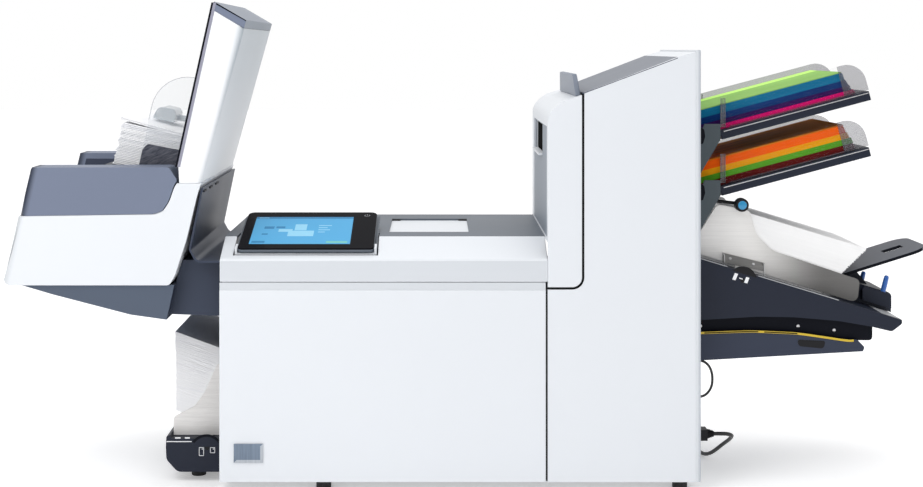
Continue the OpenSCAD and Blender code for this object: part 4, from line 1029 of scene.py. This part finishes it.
def makeTray(level):
    node = level + "_tray"
    deck = softCopy(node, "darkPlastic", 0.8)
    edge = towerRight + trayLook["bracket"]
    tintFaces(deck, "hookGrey", lambda c, n: c.x < edge and (
        abs(c.y) > trayLook["bracketY"] or c.x < edge - trayLook["bracketWide"]))
    place = trayPlace(node)
    # painted highlight: a bright steel strip along each side of the deck stands for light caught along the deck's
    # edge
    low, high = trayLook["highlightHeights"]
    start, end = trayLook["highlightEnds"]
    highlightStrips = [((start, y, -high), (end, y + 0.7, -low)) for y in trayLook["highlightAt"]]
    finishPiece(level + "TrayTrim", blockMesh(*highlightStrips), "brightSteelAndHighlight", 0, place=place)
    for side in ("front", "rear"):
        makeTrayGuide(level, side, place)


# painted light: rear part of the upper pile's top sheet, in a lighter green
def makeLitSheet():
    high = sum(band[1] for band in upperBands)
    half = sheet["width"] / 2
    end = sheet["end"] - upperBands[-1][2]
    start = end - sheet["length"]
    lit = blockMesh(((start + 2, half - sheet["lit"], high), (end - 2, half - 0.4, high + 0.2)))
    finishPiece("upperSheetsLit", lit, "sheetLime", 0, place=trayPlace("upper_tray"))


# painted shade in the form of a notch at the left edge of a tray's front bracket, below the deck's height
hookShadeOutline = [(6.0, -25.0), (15.5, -24.0, 3), (19.0, -12.0, 5), (17.5, -1.0, 3), (14.0, 2.0, 2), (6.0, 2.0)]


def makeHookShades():
    hookShadeParts = []
    for node in ("upper_tray", "lower_tray"):
        deck = boxMm(node)[0].z + trayLook["deckUp"]
        hookShadeParts.append(([(towerRight + p[0], deck + p[1], *p[2:]) for p in hookShadeOutline], -128.3, -127.8))
    finishPiece("hookNotches", prismMesh("y", *hookShadeParts), "armBlack", 0)


def makeTrays():
    makeTray("upper")
    makeTray("lower")
    makeBands("upperSheets", "upper_tray", upperBands, 11)
    makeBands("lowerSheets", "lower_tray", lowerBands, 31)
    makeLitSheet()
    makeHookShades()
    print("trays made")


makeTrays()

# main feeder: v is the distance to the right of the tower, in millimetres
feeder = {"slope": 16.8, "deck": 361.5, "cheek": -145.0, "arm": -135.0, "guide": -108.0, "lean": 14.0,
          "wheel": (77.0, 326.5, 20.5), "knob": (80.0, 446.0, 11.0, 7.5)}
mainPile = {"end": 213.0, "thick": 91.9, "slant": 51.5, "count": 118, "sheet": 0.72}
finish["sheetWhite"] = linedFinish("sheetWhite", (0.95, 0.95, 0.955), (1.0, 1.0, 1.0), (5.0, 5.0, 600.0), 0.6,
                                   lean=-feeder["slope"], depth=0.1, specular=0.2)


def atTower(v, y, z):
    return (towerRight + v, y, z)


# outline on the feeder's front from v and z, with any radius kept
def towerOutline(corners):
    return [(towerRight + c[0], *c[1:]) for c in corners]


def deckZ(v):
    return feeder["deck"] - (v - 7) * math.tan(math.radians(feeder["slope"]))


# outline from v and heights above the deck
def deckOutline(corners):
    return [(towerRight + c[0], deckZ(c[0]) + c[1], *c[2:]) for c in corners]


def makeMainPile():
    shape = flatShape("mainSheet", sheet["length"], sheet["width"], mainPile["sheet"])
    place = (moved(*atTower(mainPile["end"], 0, deckZ(mainPile["end"]) + 0.1)) @ turned(feeder["slope"], "Y")
             @ moved(-sheet["length"] / 2, 0, 0))
    count = mainPile["count"]
    makePile("mainSheets", "sheetWhite", shape, count, mainPile["thick"] / count, place, 51,
             mainPile["slant"] / count, (1.6, 0.3), replaced=("sheet_piles",))


# wheel with a ribbed rim on its shaft
def knurlWheel(name, node, x, z, radius, front, ribs, ends, thick=9.0, shaftR=4.0,
               collarR=7.0, collar=4.6):
    start, end = (e - front for e in ends)
    hub = (x, front, z)
    bm = bmesh.new()
    reach = radius - 1.2
    addTurned(bm, [(radius - 3, 0), (reach, 0.9), (reach, thick - 0.9), (radius - 3, thick)], hub)
    addTurned(bm, [(shaftR, start), (shaftR, end - collar)], hub, steps=24)
    addTurned(bm, [(collarR, end - collar), (collarR, end)], hub, steps=24)
    finishPiece(name, bm, "blackPlasticAndShade", 0.3, body=bodyOf[node], replaced=(node,))
    half = thick / 2 - 1.2
    rib = hiddenShape(name + "Rib", prismMesh("z", (rectangle(-0.7, -half, 0.7, half), -0.4, 1.2)))
    ways = [(math.cos(a), 0.0, math.sin(a)) for a in (2 * math.pi * k / ribs for k in range(ribs))]
    spots = [((x + reach * w[0], front + thick / 2, z + reach * w[2]), w) for w in ways]
    scatter(name + "Knurl", "blackPlasticAndShade", rib, spots, body=bodyOf[node])


widthSign = [(414.1, 332.7, 5.2, 10.4, 2.2), (432.8, 327.0, 5.2, 9.0, 1.8), (423.4, 329.6, 5.6, 1.6, 0.0)]


# plain sign for paper width on the front cheek, below the wheel's black hump
def makeWidthSign():
    v, z, r = feeder["wheel"]
    x = towerRight + v
    y = feeder["cheek"]
    tilt = math.radians(feeder["slope"])
    marks = []
    for at, high, w, h, over in widthSign:
        lean = w / 2 * math.tan(tilt)
        marks.append(([(at - w / 2 - over, high - h / 2 + lean), (at + w / 2 - over, high - h / 2 - lean),
                       (at + w / 2 + over, high + h / 2 - lean), (at - w / 2 + over, high + h / 2 + lean)],
                      y - 0.12, y + 0.2))
    finishPiece("widthSign", prismMesh("y", *marks), "printAndHighlightWhite", 0)
    rise = deckZ(v) - z - 3
    reach = r + 2.0
    side = math.acos(rise * math.cos(tilt) / reach)
    arc = [math.pi / 2 - tilt - side + 2 * side * k / 24 for k in range(25)]
    hump = [(x + reach * math.cos(a), z + reach * math.sin(a)) for a in arc]
    finishPiece("wheelHump", prismMesh("y", (hump, y - 0.3, y + 0.3)), "blackPlasticAndShade", 0.15)


def makeKnob():
    v, z, r, cap = feeder["knob"]
    hub = atTower(v, feeder["guide"] - 20, z)
    bm = bmesh.new()
    addTurned(bm, [(r - 2.2, 1.5), (r - 0.6, 2.6), (r, 4), (r, 8.2), (r - 1.0, 8.8), (r - 1.0, 10.4), (r, 11),
                   (r, 18.4), (r - 1.2, 19.7)], hub)
    addTurned(bm, [(3, 19), (3, 22.5)], hub, steps=24)
    finishPiece("separatorKnob", bm, "blackPlasticAndShade", 0.2, body="knob",
                replaced=("separator_knob",))
    bm = bmesh.new()
    addTurned(bm, [(1.5, 0.05), (4.2, 0.3), (6.4, 0.9), (cap, 1.9), (cap, 2.6)], hub)
    finishPiece("knobCap", bm, "blueCap", 0, body="knob")


clipBracket = {"corners": [(51.0, 367.0), (119.0, 350.0), (119.0, 336.5), (51.0, 351.0)],
               "deep": (4.0, 0.2), "legs": [(53.0, 366.0, 343.0), (118.0, 350.0, 321.0)],
               "screws": [(63.0, 357.0), (101.0, 348.0)]}


def makeClipBracket():
    y = feeder["guide"]
    deep, lap = clipBracket["deep"]
    corners = towerOutline(clipBracket["corners"])
    (x0, z0), (x1, z1) = corners[:2]
    plate = prismMesh("y", ([(*c, 1.5) for c in corners], y - 1.4, y + lap),
                      ([(x0, z0), (x1, z1), (x1, z1 - 1.2), (x0, z0 - 1.2)], y - deep, y + lap))
    finishPiece("clipBracket", plate, "clipSteel", 0.3, body="main_guide_front")
    for i, (v, high, low) in enumerate(clipBracket["legs"]):
        bends = [(v - 2, y - 1.2, high - 2), (v - 1.5, y - 4.0, high - 1), (v, y - 5.2, high - 4),
                 (v, y - 5.2, low + 5), (v, y - 5.0, low + 1.5), (v + 0.5, y - 2.5, low)]
        route = smoothRoute([atTower(*b) for b in bends], 4)
        tubePiece(f"clipLeg{i + 1}", route, 1.8, "brightSteelAndHighlight", "main_guide_front")


coverEdge = {"arc": [(7.0, 243.0), (50.0, 244.6), (92.0, 245.6), (130.0, 244.1), (165.0, 242.2),
                     (205.0, 236.8), (243.0, 231.2), (256.0, 230.9)], "strip": 3.2, "inset": 0.75,
             "dark": (1, 16), "recess": (165.0, 210.0, 216.5, 233.0)}


# banded strip along the lower cover's arched edge, and the finger recess below it
def makeCoverEdge():
    y = feeder["cheek"]
    arc = [p[:2] for p in smoothRoute([(towerRight + p[0], p[1], 0) for p in coverEdge["arc"]], 4)]
    strip, inset = coverEdge["strip"], coverEdge["inset"]
    first, last = coverEdge["dark"]
    spans = list(zip(arc, arc[1:]))

    def band(a, b, low, high):
        return [(a[0], a[1] + low), (b[0], b[1] + low), (b[0], b[1] + high), (a[0], a[1] + high)]

    yellow = [(band(a, b, -strip, 0.2), y - 0.6, y + 0.4) for a, b in spans]
    black = [(band(a, b, inset - strip, -inset), y - 0.75, y) for i, (a, b) in enumerate(spans)
             if first <= i < last and i % 9]
    finishPiece("coverStrip", prismMesh("y", *yellow), "yellowTrim", 0, body="under_cover")
    finishPiece("coverStripMarks", prismMesh("y", *black), "armBlack", 0, body="under_cover")
    v0, v1, low, high = coverEdge["recess"]
    outer = towerOutline([(v0, high - 2, 3), (v0 + 2, low + 4, 6), (v1 - 2, low, 6), (v1, high - 4, 3)])
    bm = prismMesh("y", (outer, y - 0.5, y + 0.4))
    face = min(bm.faces, key=lambda f: f.calc_center_median().y)
    bmesh.ops.inset_region(bm, faces=[face], thickness=1.3 * mm, depth=-0.7 * mm)
    finishPiece("fingerRecess", bm, "blackPlasticAndShade", 0, body="under_cover")


stopLook = {"lever": 329.0, "half": 65.0, "crank": 7.0, "lean": 24.0, "rise": 0.313, "levers": (44, 32.0),
            "cheek": (290.0, 338.0), "low": 7.0, "high": 31.0, "gap": 70.6,
            "inner": 59.0, "shaft": 69.0}


def makeLever():
    v, half = stopLook["lever"], stopLook["half"]
    foot = Vector(atTower(v, 0, deckZ(v) + 16))
    lean = math.radians(feeder["lean"])
    bm = bmesh.new()
    addTurned(bm, [(3, -stopLook["shaft"]), (3, stopLook["shaft"])], foot, steps=24)
    for y, high in zip((-half, half), stopLook["levers"]):
        base = foot + Vector((-stopLook["crank"], y, 0))
        profile = [(3.9, -2), (4.4, 4), (4.2, high - 10), (3.9, high - 3), (2.8, high - 0.6), (1.2, high)]
        addTurned(bm, profile, base, (math.sin(lean), 0, math.cos(lean)), 24)
        addBlock(bm, base + Vector((0, -3, -2.5)), base + Vector((stopLook["crank"], 3, 2.5)))
    finishPiece("releaseLever", bm, "bluePlastic", 0, body="lever",
                replaced=("release_lever",))


# side cheeks of the back stop, with the levers standing out of the slots behind them
def makeStopCheeks():
    (v0, v1), low, high, gap = (stopLook[k] for k in ("cheek", "low", "high", "gap"))
    outline = deckOutline([(v0, low), (v1, low), (v1, high, 5), (v0, high, 5)])
    bm = bmesh.new()
    for side in (-1, 1):
        addPrism(bm, outline, "y", *sorted((side * gap, side * (gap + 2))))
        near, far = sorted((side * stopLook["inner"], side * (gap + 1)))
        for v in (v0, v1 - 4):
            foot = deckZ(v) + low + 2
            addBlock(bm, atTower(v + 0.5, near, foot), atTower(v + 3.5, far, foot + 14))
    finishPiece("stopCheeks", bm, "darkPlastic", 0.5, body="stop")


guideCurve = {"centre": (173.7, 436.5), "radius": 77.2, "v": (97.0, 152.0), "z": (360.0, 424.0), "near": 6.0}


# brings the hollow edge of a steel guide onto one even arc
def sweepCurve(guide):
    v0, z0 = guideCurve["centre"]
    (vLow, vHigh), (zLow, zHigh) = guideCurve["v"], guideCurve["z"]
    radius, near = guideCurve["radius"], guideCurve["near"]
    for vertex in guide.data.vertices:
        v = vertex.co.x / mm - towerRight
        z = vertex.co.z / mm
        reach = math.hypot(v - v0, z - z0)
        if vLow < v < vHigh and zLow < z < zHigh and abs(reach - radius) < near:
            scale = radius / reach
            vertex.co.x = (towerRight + v0 + (v - v0) * scale) * mm
            vertex.co.z = (z0 + (z - z0) * scale) * mm


deckTrim = {"line": [(1.0, 52.0), (102.0, 232.0)], "high": (0.5, 1.7), "tip": (304.0, 334.0),
            "tipHalf": 136.0, "rod": [(20.0, -100.0, 453.0), (78.0, -102.0, 447.0)], "rodR": 2.6}


# painted highlight along the cheek's upper edge, pale end of the deck, and the rod from the tower to the knob
def makeDeckTrim():
    y = feeder["cheek"]

    def strip(v0, v1, low, high):
        return deckOutline([(v0, low), (v1, low), (v1, high), (v0, high)])

    lines = [(strip(*ends, *deckTrim["high"]), y - 0.25, y + 0.3) for ends in deckTrim["line"]]
    finishPiece("deckLine", prismMesh("y", *lines), "tipGrey", 0)
    tip = (strip(*deckTrim["tip"], 0.02, 0.2), -deckTrim["tipHalf"], deckTrim["tipHalf"])
    finishPiece("deckTip", prismMesh("y", tip), "tipGrey", 0)
    start, end = (Vector(atTower(*p)) for p in deckTrim["rod"])
    bm = bmesh.new()
    addTurned(bm, [(deckTrim["rodR"], 0), (deckTrim["rodR"], (end - start).length)], start, end - start, 20)
    finishPiece("knobRod", bm, "blackPlasticAndShade", 0.3, body="main_guide_front")


# back stop, its post leaning towards the tower
def makeBackStop():
    stop = softCopy("back_stop", "darkPlastic", 1.0)
    for v in stop.data.vertices:
        if v.co.z / mm > deckZ(v.co.x / mm - towerRight) + stopLook["high"] + 4:
            v.co.x -= stopLook["lean"] * mm
            v.co.z -= stopLook["lean"] * stopLook["rise"] * mm


def makeMainFeeder():
    softCopy("feeder_deck", "darkPlastic", 0.8, arcs=True)
    softCopy("feeder_arm", "armBlack", 0.8, arcs=True)
    softCopy("lower_cover", "coverGrey", 0.8, arcs=True)
    for node in ("main_front_guide", "main_rear_guide"):
        sweepCurve(softCopy(node, "steel", 0.4, 2, arcs=True))
    makeBackStop()
    tail = softCopy("tail_support", "tailGrey", 0.8, arcs=True)
    # painted shade: the tail support's sides and underside take black, its top keeps the grey
    tintFaces(tail, "armBlack", lambda c, n: n.z < 0.2 and n.y < 0.5)
    makeDeckTrim()
    v, z, r = feeder["wheel"]
    knurlWheel("widthWheel", "main_guide_screw", towerRight + v, z, r, feeder["cheek"] + 4.4, 56,
               (feeder["cheek"], 150.0))
    makeWidthSign()
    makeMainPile()
    makeKnob()
    makeClipBracket()
    makeCoverEdge()
    makeLever()
    makeStopCheeks()
    print("main feeder made")


makeMainFeeder()

# envelope stacker: drawn leftwards from the body's left end and upwards from the tub's underside
stacker = {"tub": 327.0, "bed": (-71.6, 160.0), "lean": 12.5, "guard": -120.0, "tip": (-9.2, 447.0),
           "foot": (-66.5, 187.0), "cap": [(-8.0, 448.3), (42.3, 418.9)], "capFrom": 405.0, "slope": 0.2204,
           "recess": [(-296.0, 135.0), (-287.0, 176.0), (-110.0, 176.0), (-110.0, 135.0)], "rail": 58.0}
envelope = {"wide": 114.0, "long": 229.0, "stack": 80.0, "filled": 2.6, "empty": 1.29, "hopper": 129.0,
            "slope": 20.0, "stacked": 27, "middle": -29.5, "table": (-83.0, 109.6), "lower": 0.76}
finish["envelopeWhite"] = linedFinish("envelopeWhite", (0.90, 0.905, 0.93), (0.985, 0.985, 0.99),
                                      (5.0, 5.0, 420.0), 0.6, lean=-stacker["lean"], depth=0.2, specular=0.2)
# tint for the guard's dark foot plate, whose lines paint the shade on the envelope edges seen through the guard
finish["footTint"] = linedFinish("footTint", (0.030, 0.034, 0.052), (0.17, 0.175, 0.21),
                                 (60.0, 60.0, 420.0), 0.5, lean=24, specular=0.2)


def atStacker(u, y, h):
    return (bodyLeft + u, y, stacker["tub"] + h)


def stackerOutline(corners):
    return [(bodyLeft + u, stacker["tub"] + h) for u, h in corners]


def bedPlace():
    u, h = stacker["bed"]
    return moved(*atStacker(u, 0, h)) @ turned(stacker["lean"], "Y")


def envelopeShape(name, thick):
    return flatShape(name, envelope["wide"], envelope["long"], thick, thick * 0.35)


def makeStackedPile():
    pitch = envelope["filled"]
    shape = envelopeShape("filledEnvelope", pitch * 0.9)
    count = envelope["stacked"]
    place = bedPlace() @ moved(-envelope["wide"] / 2 - 3, 0, 0.2)
    makePile("stackedEnvelopes", "envelopeWhite", shape, count, pitch, place, 71, 0.0, (1.8, 1.2), 0.008,
             ("envelope_piles",))
    top = place @ moved(-4, 0, count * pitch + 0.6) @ turned(3.2, "Y")
    makePile("topEnvelopes", "envelopeWhite", shape, 2, pitch, top, 74, -1.6, (1.0, 0.6), 0.006)


def makeHopperPile():
    slope = math.radians(envelope["slope"])
    pitch = envelope["empty"]
    shape = envelopeShape("emptyEnvelope", 1.12)
    middle, (u, z) = envelope["middle"], envelope["table"]
    foot = (bodyLeft + middle, z - (middle - u) * math.tan(slope))
    count = round(envelope["hopper"] / pitch)
    lower = round(count * envelope["lower"])
    for name, start, number, shift in (("hopperEnvelopes", 0, lower, 0.0),
                                       ("hopperEnvelopesTop", lower, count - lower, 1.2)):
        place = moved(foot[0] - shift, 0, foot[1] + start * pitch + 0.1) @ turned(envelope["slope"], "Y")
        makePile(name, "envelopeWhite", shape, number, pitch * math.cos(slope), place, 81 + start,
                 -pitch * math.sin(slope), (0.5, 0.4), 0.002, ("envelope_piles",))


# pale band with a black edge up the left of the stacker's tower, and the black edge of its cap
def makeTowerEdge():
    (xLow, zLow), (xHigh, zHigh) = stackerOutline([stacker["foot"], stacker["tip"]])
    for name, look, left, right, front, back in (("towerEdge", "armBlack", -3.4, 0.4, -0.1, 56.0),
                                                 ("towerBand", "edgeGrey", 0.0, 4.6, -0.5, 2.0)):
        outline = [(xLow + left, zLow), (xLow + right, zLow), (xHigh + right, zHigh), (xHigh + left, zHigh)]
        bm = prismMesh("y", (outline, frontY + front, frontY + back))
        finishPiece(name, bm, look, 0.4)
    (u0, h0), (u1, h1) = stacker["cap"]
    outline = stackerOutline([(u0 - 2, h0 - 1.8), (u1, h1 - 1.8), (u1, h1), (u0, h0)])
    bm = prismMesh("y", (outline, frontY - 0.3, frontY + 1.5))
    finishPiece("capEdge", bm, "armBlack", 0.3)


chuteSlots = {"across": -25.7, "high": (146.0, 149.0),
              "along": [(-186.0, -160.0), (-120.0, -92.0), (-52.0, -20.0)]}


# black blocks that paint the shade in narrow slots below the chute's upper edge, and a dark plate that paints the
# shade in the hollow of the rear rail
def makeChuteSlots():
    low, high = chuteSlots["high"]
    u = chuteSlots["across"]
    slots = [(atStacker(u - 2.6, y0, low), atStacker(u + 0.25, y1, high)) for y0, y1 in chuteSlots["along"]]
    finishPiece("chuteSlots", blockMesh(*slots), "armBlack", 0)
    rear = boxMm("stacker_side_covers")[1].y - stacker["rail"]
    hollow = prismMesh("y", (stackerOutline(stacker["recess"]), rear - 0.4, rear + 0.4))
    finishPiece("railHollow", hollow, "railDark", 0)


# guard and weight, drawn on the bed
guardRim = [(-73.6, 0.5), (-74.8, 84.0), (-75.2, 166.4, 60), (-15.0, 166.8, 4), (-3.2, 165.8, 2),
            (-3.2, 0.5)]
guardFoot = [(-74, 4), (-4, 4), (-4, 47, 3), (-68, 45, 8), (-74, 34, 6)]


def makeGuard():
    y = stacker["guard"]
    place = bedPlace()
    bm = prismMesh("y", (guardRim, y, y + 3))
    addBlock(bm, (-70, y - 8, 0.5), (-8, y + 1, 2.5))
    finishPiece("stackGuard", bm, "guardClear", 0, body="guard", replaced=("stack_guard",),
                place=place)
    rim = [place @ (Vector((p[0], y + 1.5, p[1])) * mm) / mm for p in roundOutline(guardRim)]
    tubePiece("guardEdge", rim[1:-1], 0.9, "guardEdge", "guard")
    # dark tinted foot plate of the guard, with painted shade of the envelope edges behind it
    foot = prismMesh("y", (guardFoot, y - 0.9, y + 0.1))
    finishPiece("guardFoot", foot, "footTint", 0.2, body="guard", place=place)


def makeWeight():
    z = envelope["stack"]
    outline = [(-84, z + 0.4, 3), (-46, z + 0.4, 3), (-46, z + 23, 10), (-78, z + 23, 12)]
    bm = prismMesh("y", (outline, -35, 35))
    addBlock(bm, (-48, -8, z + 4), (-0.6, 8, z + 14))
    finishPiece("stackWeight", bm, "weightClear", 1.2, 3, "weight", ("stack_weight",), bedPlace())


# upright edge on the front, on one side of a place along X
def frontUpright(side, place):
    def upright(e):
        a, b = (v.co for v in e.verts)
        return abs(a.z - b.z) > 50 * mm and all(side * (v.x - place * mm) > 0 for v in (a, b))
    return bothTests(edgeNear("y", frontY), upright)


def makeStacker():
    leftUpright = frontUpright(-1, bodyLeft - 285)
    rightUpright = frontUpright(1, bodyLeft - 31)
    way = (1, 0, -math.tan(math.radians(stacker["lean"])))
    tub = softCopy("stacker_tub", "panelWhite", 2.2, 4, [(leftUpright, 8.5, 8)], True)
    # painted shade: the tub greys towards its left edge
    edge = min(v.co.x + way[2] * v.co.z for v in tub.data.vertices) / mm
    tub.data.materials[0] = shadedWhite("tubShade", (0.58, 0.61, 0.635), (0.725, 0.75, 0.785), way,
                                        (edge, edge + 13))
    rails = softCopy("stacker_side_covers", "railGrey", 1.4,
                     rounds=[(leftUpright, 8.5, 8)], arcs=True)
    # painted shade: the rails darken towards their left ends
    railShade = mouldedPlastic("railShade", (1, 1, 1), 0.48, **dull)
    rails.data.materials[0] = blendAlong(railShade, (0.036, 0.044, 0.070), mouldings["railGrey"][0], way,
                                         (edge + 5, edge + 17))
    tower = softCopy("stacker_tower", "panelWhite", 1.0, rounds=[(rightUpright, 9.0, 8)])
    # painted shade: the stacker's tower greys towards its right edge
    way = (1, 0, -stacker["slope"])
    edge = max(v.co.x + way[2] * v.co.z for v in tower.data.vertices) / mm
    tower.data.materials[0] = shadedWhite("towerShade", (0.82, 0.835, 0.86), (0.47, 0.515, 0.555), way,
                                          (edge - 16, edge - 1))
    bed = softCopy("stack_bed", "darkPlastic", 0.6)
    capZ = stacker["tub"] + stacker["capFrom"]
    # painted light and shade: the cap's top, front and right faces take three greys by the way they face, darkest
    # at the front and lightest on the right
    tintFaces(bed, "capGrey", lambda c, n: c.z > capZ and n.z > 0.3)
    tintFaces(bed, "railGrey", lambda c, n: c.z > capZ and n.y < -0.6)
    tintFaces(bed, "panelGrey", lambda c, n: c.z > capZ and n.x > 0.6)
    bracket = softCopy("stacker_bracket", "bracketGrey", 1.0, arcs=True)
    tintFaces(bracket, "wedgeGrey", lambda c, n: c.x < bodyLeft - 85)
    makeChuteSlots()
    makeTowerEdge()
    makeStackedPile()
    makeGuard()
    makeWeight()
    print("stacker made")


makeStacker()

# envelope feeder, drawn leftwards from the body's left end
hopper = {"front": -140.0, "wheel": (-28.0, 55.0, 15.6), "line": 65.0, "lineFrom": -94.0,
          "hump": (-29.0, 49.0, 28.0), "rim": 4.2, "clips": [(-80.0, -71.0), (-64.0, -56.0)],
          "clipZ": (70.0, 72.0), "signs": [(-41.2, -33.2, 42.0, 56.0), (-23.2, -15.2, 46.6, 56.0)]}


# outline of an envelope with its stamp
def envelopeSign(u0, u1, z0, z1):
    y = hopper["front"] - 0.5
    t = 0.9
    bars = ((u0, u1, z0, z0 + t), (u0, u1, z1 - t, z1), (u0, u0 + t, z0, z1), (u1 - t, u1, z0, z1),
            (u1 - 3.4, u1 - 1.8, z1 - 3.6, z1 - 2.0))
    return [((bodyLeft + a, y - 0.12, c), (bodyLeft + b, y + 0.2, d)) for a, b, c, d in bars]


# painted highlight along the table's front up to the black-rimmed hump over the wheel, and two plain envelope
# signs
def makeHopperLine():
    u, z, reach = hopper["hump"]
    y = hopper["front"]
    line = hopper["line"]
    start = math.asin((line - z) / reach)
    turns = [start + (math.pi - 2 * start) * k / 20 for k in range(21)]
    outer, inner = ([(bodyLeft + u + r * math.cos(a), z + r * math.sin(a)) for a in turns]
                    for r in (reach, reach - hopper["rim"]))
    cover = outer + [(outer[-1][0], line - 8), (outer[0][0], line - 8)]
    finishPiece("wheelCover", prismMesh("y", (cover, y - 0.5, y + 0.4)), "darkPlastic", 0.2)
    rim = [(corners, y - 0.8, y - 0.3) for corners in zip(outer, outer[1:], inner[1:], inner)]
    finishPiece("wheelCoverRim", prismMesh("y", *rim), "armBlack", 0)
    bars = [((bodyLeft + hopper["lineFrom"], y - 0.3, line - 0.6), (outer[-1][0] - 1, y + 0.3, line + 0.7))]
    low, high = hopper["clipZ"]
    bars += [((bodyLeft + a, y - 0.3, low), (bodyLeft + b, y + 0.3, high)) for a, b in hopper["clips"]]
    finishPiece("hopperLine", blockMesh(*bars), "printAndHighlightWhite", 0)
    signs = [bar for sign in hopper["signs"] for bar in envelopeSign(*sign)]
    finishPiece("envelopeSigns", blockMesh(*signs), "printAndHighlightWhite", 0)


def makeHopper():
    softCopy("envelope_base", "darkPlastic", 1.0, arcs=True)
    softCopy("envelope_front_guide", "paleSteel", 0.4, 2, arcs=True)
    softCopy("envelope_rear_guide", "paleSteel", 0.4, 2, arcs=True)
    u, z, r = hopper["wheel"]
    knurlWheel("envelopeWheel", "envelope_guide_screw", bodyLeft + u, z, r, hopper["front"] + 4.4, 44,
               (hopper["front"], 145.0))
    makeHopperLine()
    makeHopperPile()
    softCopy("feet", "rubber", 0.8)
    print("envelope feeder made")


makeHopper()

# screw heads: v and height on the feeder's arm, inset from the edges and height on the back
screws = {"arm": [(10.0, 251.2), (168.4, 251.2), (226.8, 244.7)], "inset": 14, "up": (14, 280),
          "head": [(2.9, -0.4), (2.9, 0.3), (2.5, 0.9), (1.6, 1.3), (1.0, 1.3), (0.8, 0.5)]}


def makeScrews():
    bm = bmesh.new()
    addTurned(bm, screws["head"], (0, 0, 0), (0, 0, 1), 24)
    shape = hiddenShape("screwHead", bm)
    arm = [(atTower(v, feeder["arm"], z), (0.0, -1.0, 0.0)) for v, z in screws["arm"]]
    low, high = boxMm("rear_cover")
    across = (low.x + screws["inset"], (low.x + high.x) / 2, high.x - screws["inset"])
    rear = [((x, high.y, low.z + up), (0.0, 1.0, 0.0)) for x in across for up in screws["up"]]
    scatter("caseScrews", "brightSteelAndHighlight", shape, arm + rear)
    clip = [(atTower(v, feeder["guide"] - 1.4, z), (0.0, -1.0, 0.0)) for v, z in clipBracket["screws"]]
    scatter("clipScrews", "brightSteelAndHighlight", shape, clip, 0.9, "main_guide_front")
    print("screws made")


makeScrews()
for shape in usedShapes:
    mesh = shape.data
    bpy.data.objects.remove(shape)
    bpy.data.meshes.remove(mesh)

# studio: floor that glows a little, soft lights (place, aim, size, power), world that is dimmer at the sides
studio = {"floor": 30.0, "tone": (0.95, 0.95, 0.955), "lift": 0.30, "world": (1.0, 0.30), "fall": (0.4, 1.0),
          "front": 0.9, "lamps": {
              "keyLamp": ((-1.0, -1.4, 1.9), (-0.1, 0.0, 0.45), 1.2, 15.5),
              "fillLamp": ((-1.5, -1.7, 0.5), (-0.45, -0.1, 0.2), 0.9, 2.4),
              "topLamp": ((0.2, 0.3, 2.8), (0.0, 0.0, 0.3), 1.8, 14.0),
              "sideLamp": ((1.9, -0.6, 1.05), (0.5, -0.05, 0.5), 0.6, 2.5)}}


def makeFloor():
    half = studio["floor"] / 2 / mm
    mesh = meshOf("studioFloor", blockMesh(((-half, -half, -20), (half, half, 0))))
    mesh.materials.append(mouldedPlastic("floorPaper", studio["tone"], 0.9, drift=0.01, depth=0.01, sockets={
        "Emission Color": (1, 1, 1, 1), "Emission Strength": studio["lift"]}))
    linkMesh("studioFloor", mesh)


def makeLamps():
    for name, (spot, aim, size, power) in studio["lamps"].items():
        data = bpy.data.lights.new(name, "AREA")
        data.shape = "SQUARE"
        data.size = size
        data.energy = power
        lamp = bpy.data.objects.new(name, data)
        lamp.location = spot
        lamp.rotation_euler = (Vector(aim) - Vector(spot)).to_track_quat("-Z", "Y").to_euler()
        scene.collection.objects.link(lamp)


def makeWorld():
    world = bpy.data.worlds.new("studioWorld")
    world.use_nodes = True
    tree = world.node_tree
    coords = addNode(tree, "ShaderNodeTexCoord", (-1000, 0))
    apart = addNode(tree, "ShaderNodeSeparateXYZ", (-800, 0), {0: coords.outputs["Generated"]})
    sideways = addMath(tree, "ABSOLUTE", (-600, 100), apart.outputs["X"])
    forward = addMath(tree, "MULTIPLY", (-600, -100), apart.outputs["Y"], -studio["front"])
    either = addMath(tree, "MAXIMUM", (-500, 0), sideways, forward)
    (start, end), (bright, dim) = studio["fall"], studio["world"]
    fall = addNode(tree, "ShaderNodeMapRange", (-300, 0), {
        "Value": either, "From Min": start, "From Max": end, "To Min": bright, "To Max": dim},
        interpolation_type="SMOOTHSTEP")
    fillInputs(tree, tree.nodes["Background"], {"Color": (1, 1, 1, 1), "Strength": fall.outputs["Result"]})
    scene.world = world
    scene.view_settings.view_transform = "Standard"


makeFloor()
makeLamps()
makeWorld()
print("studio made")
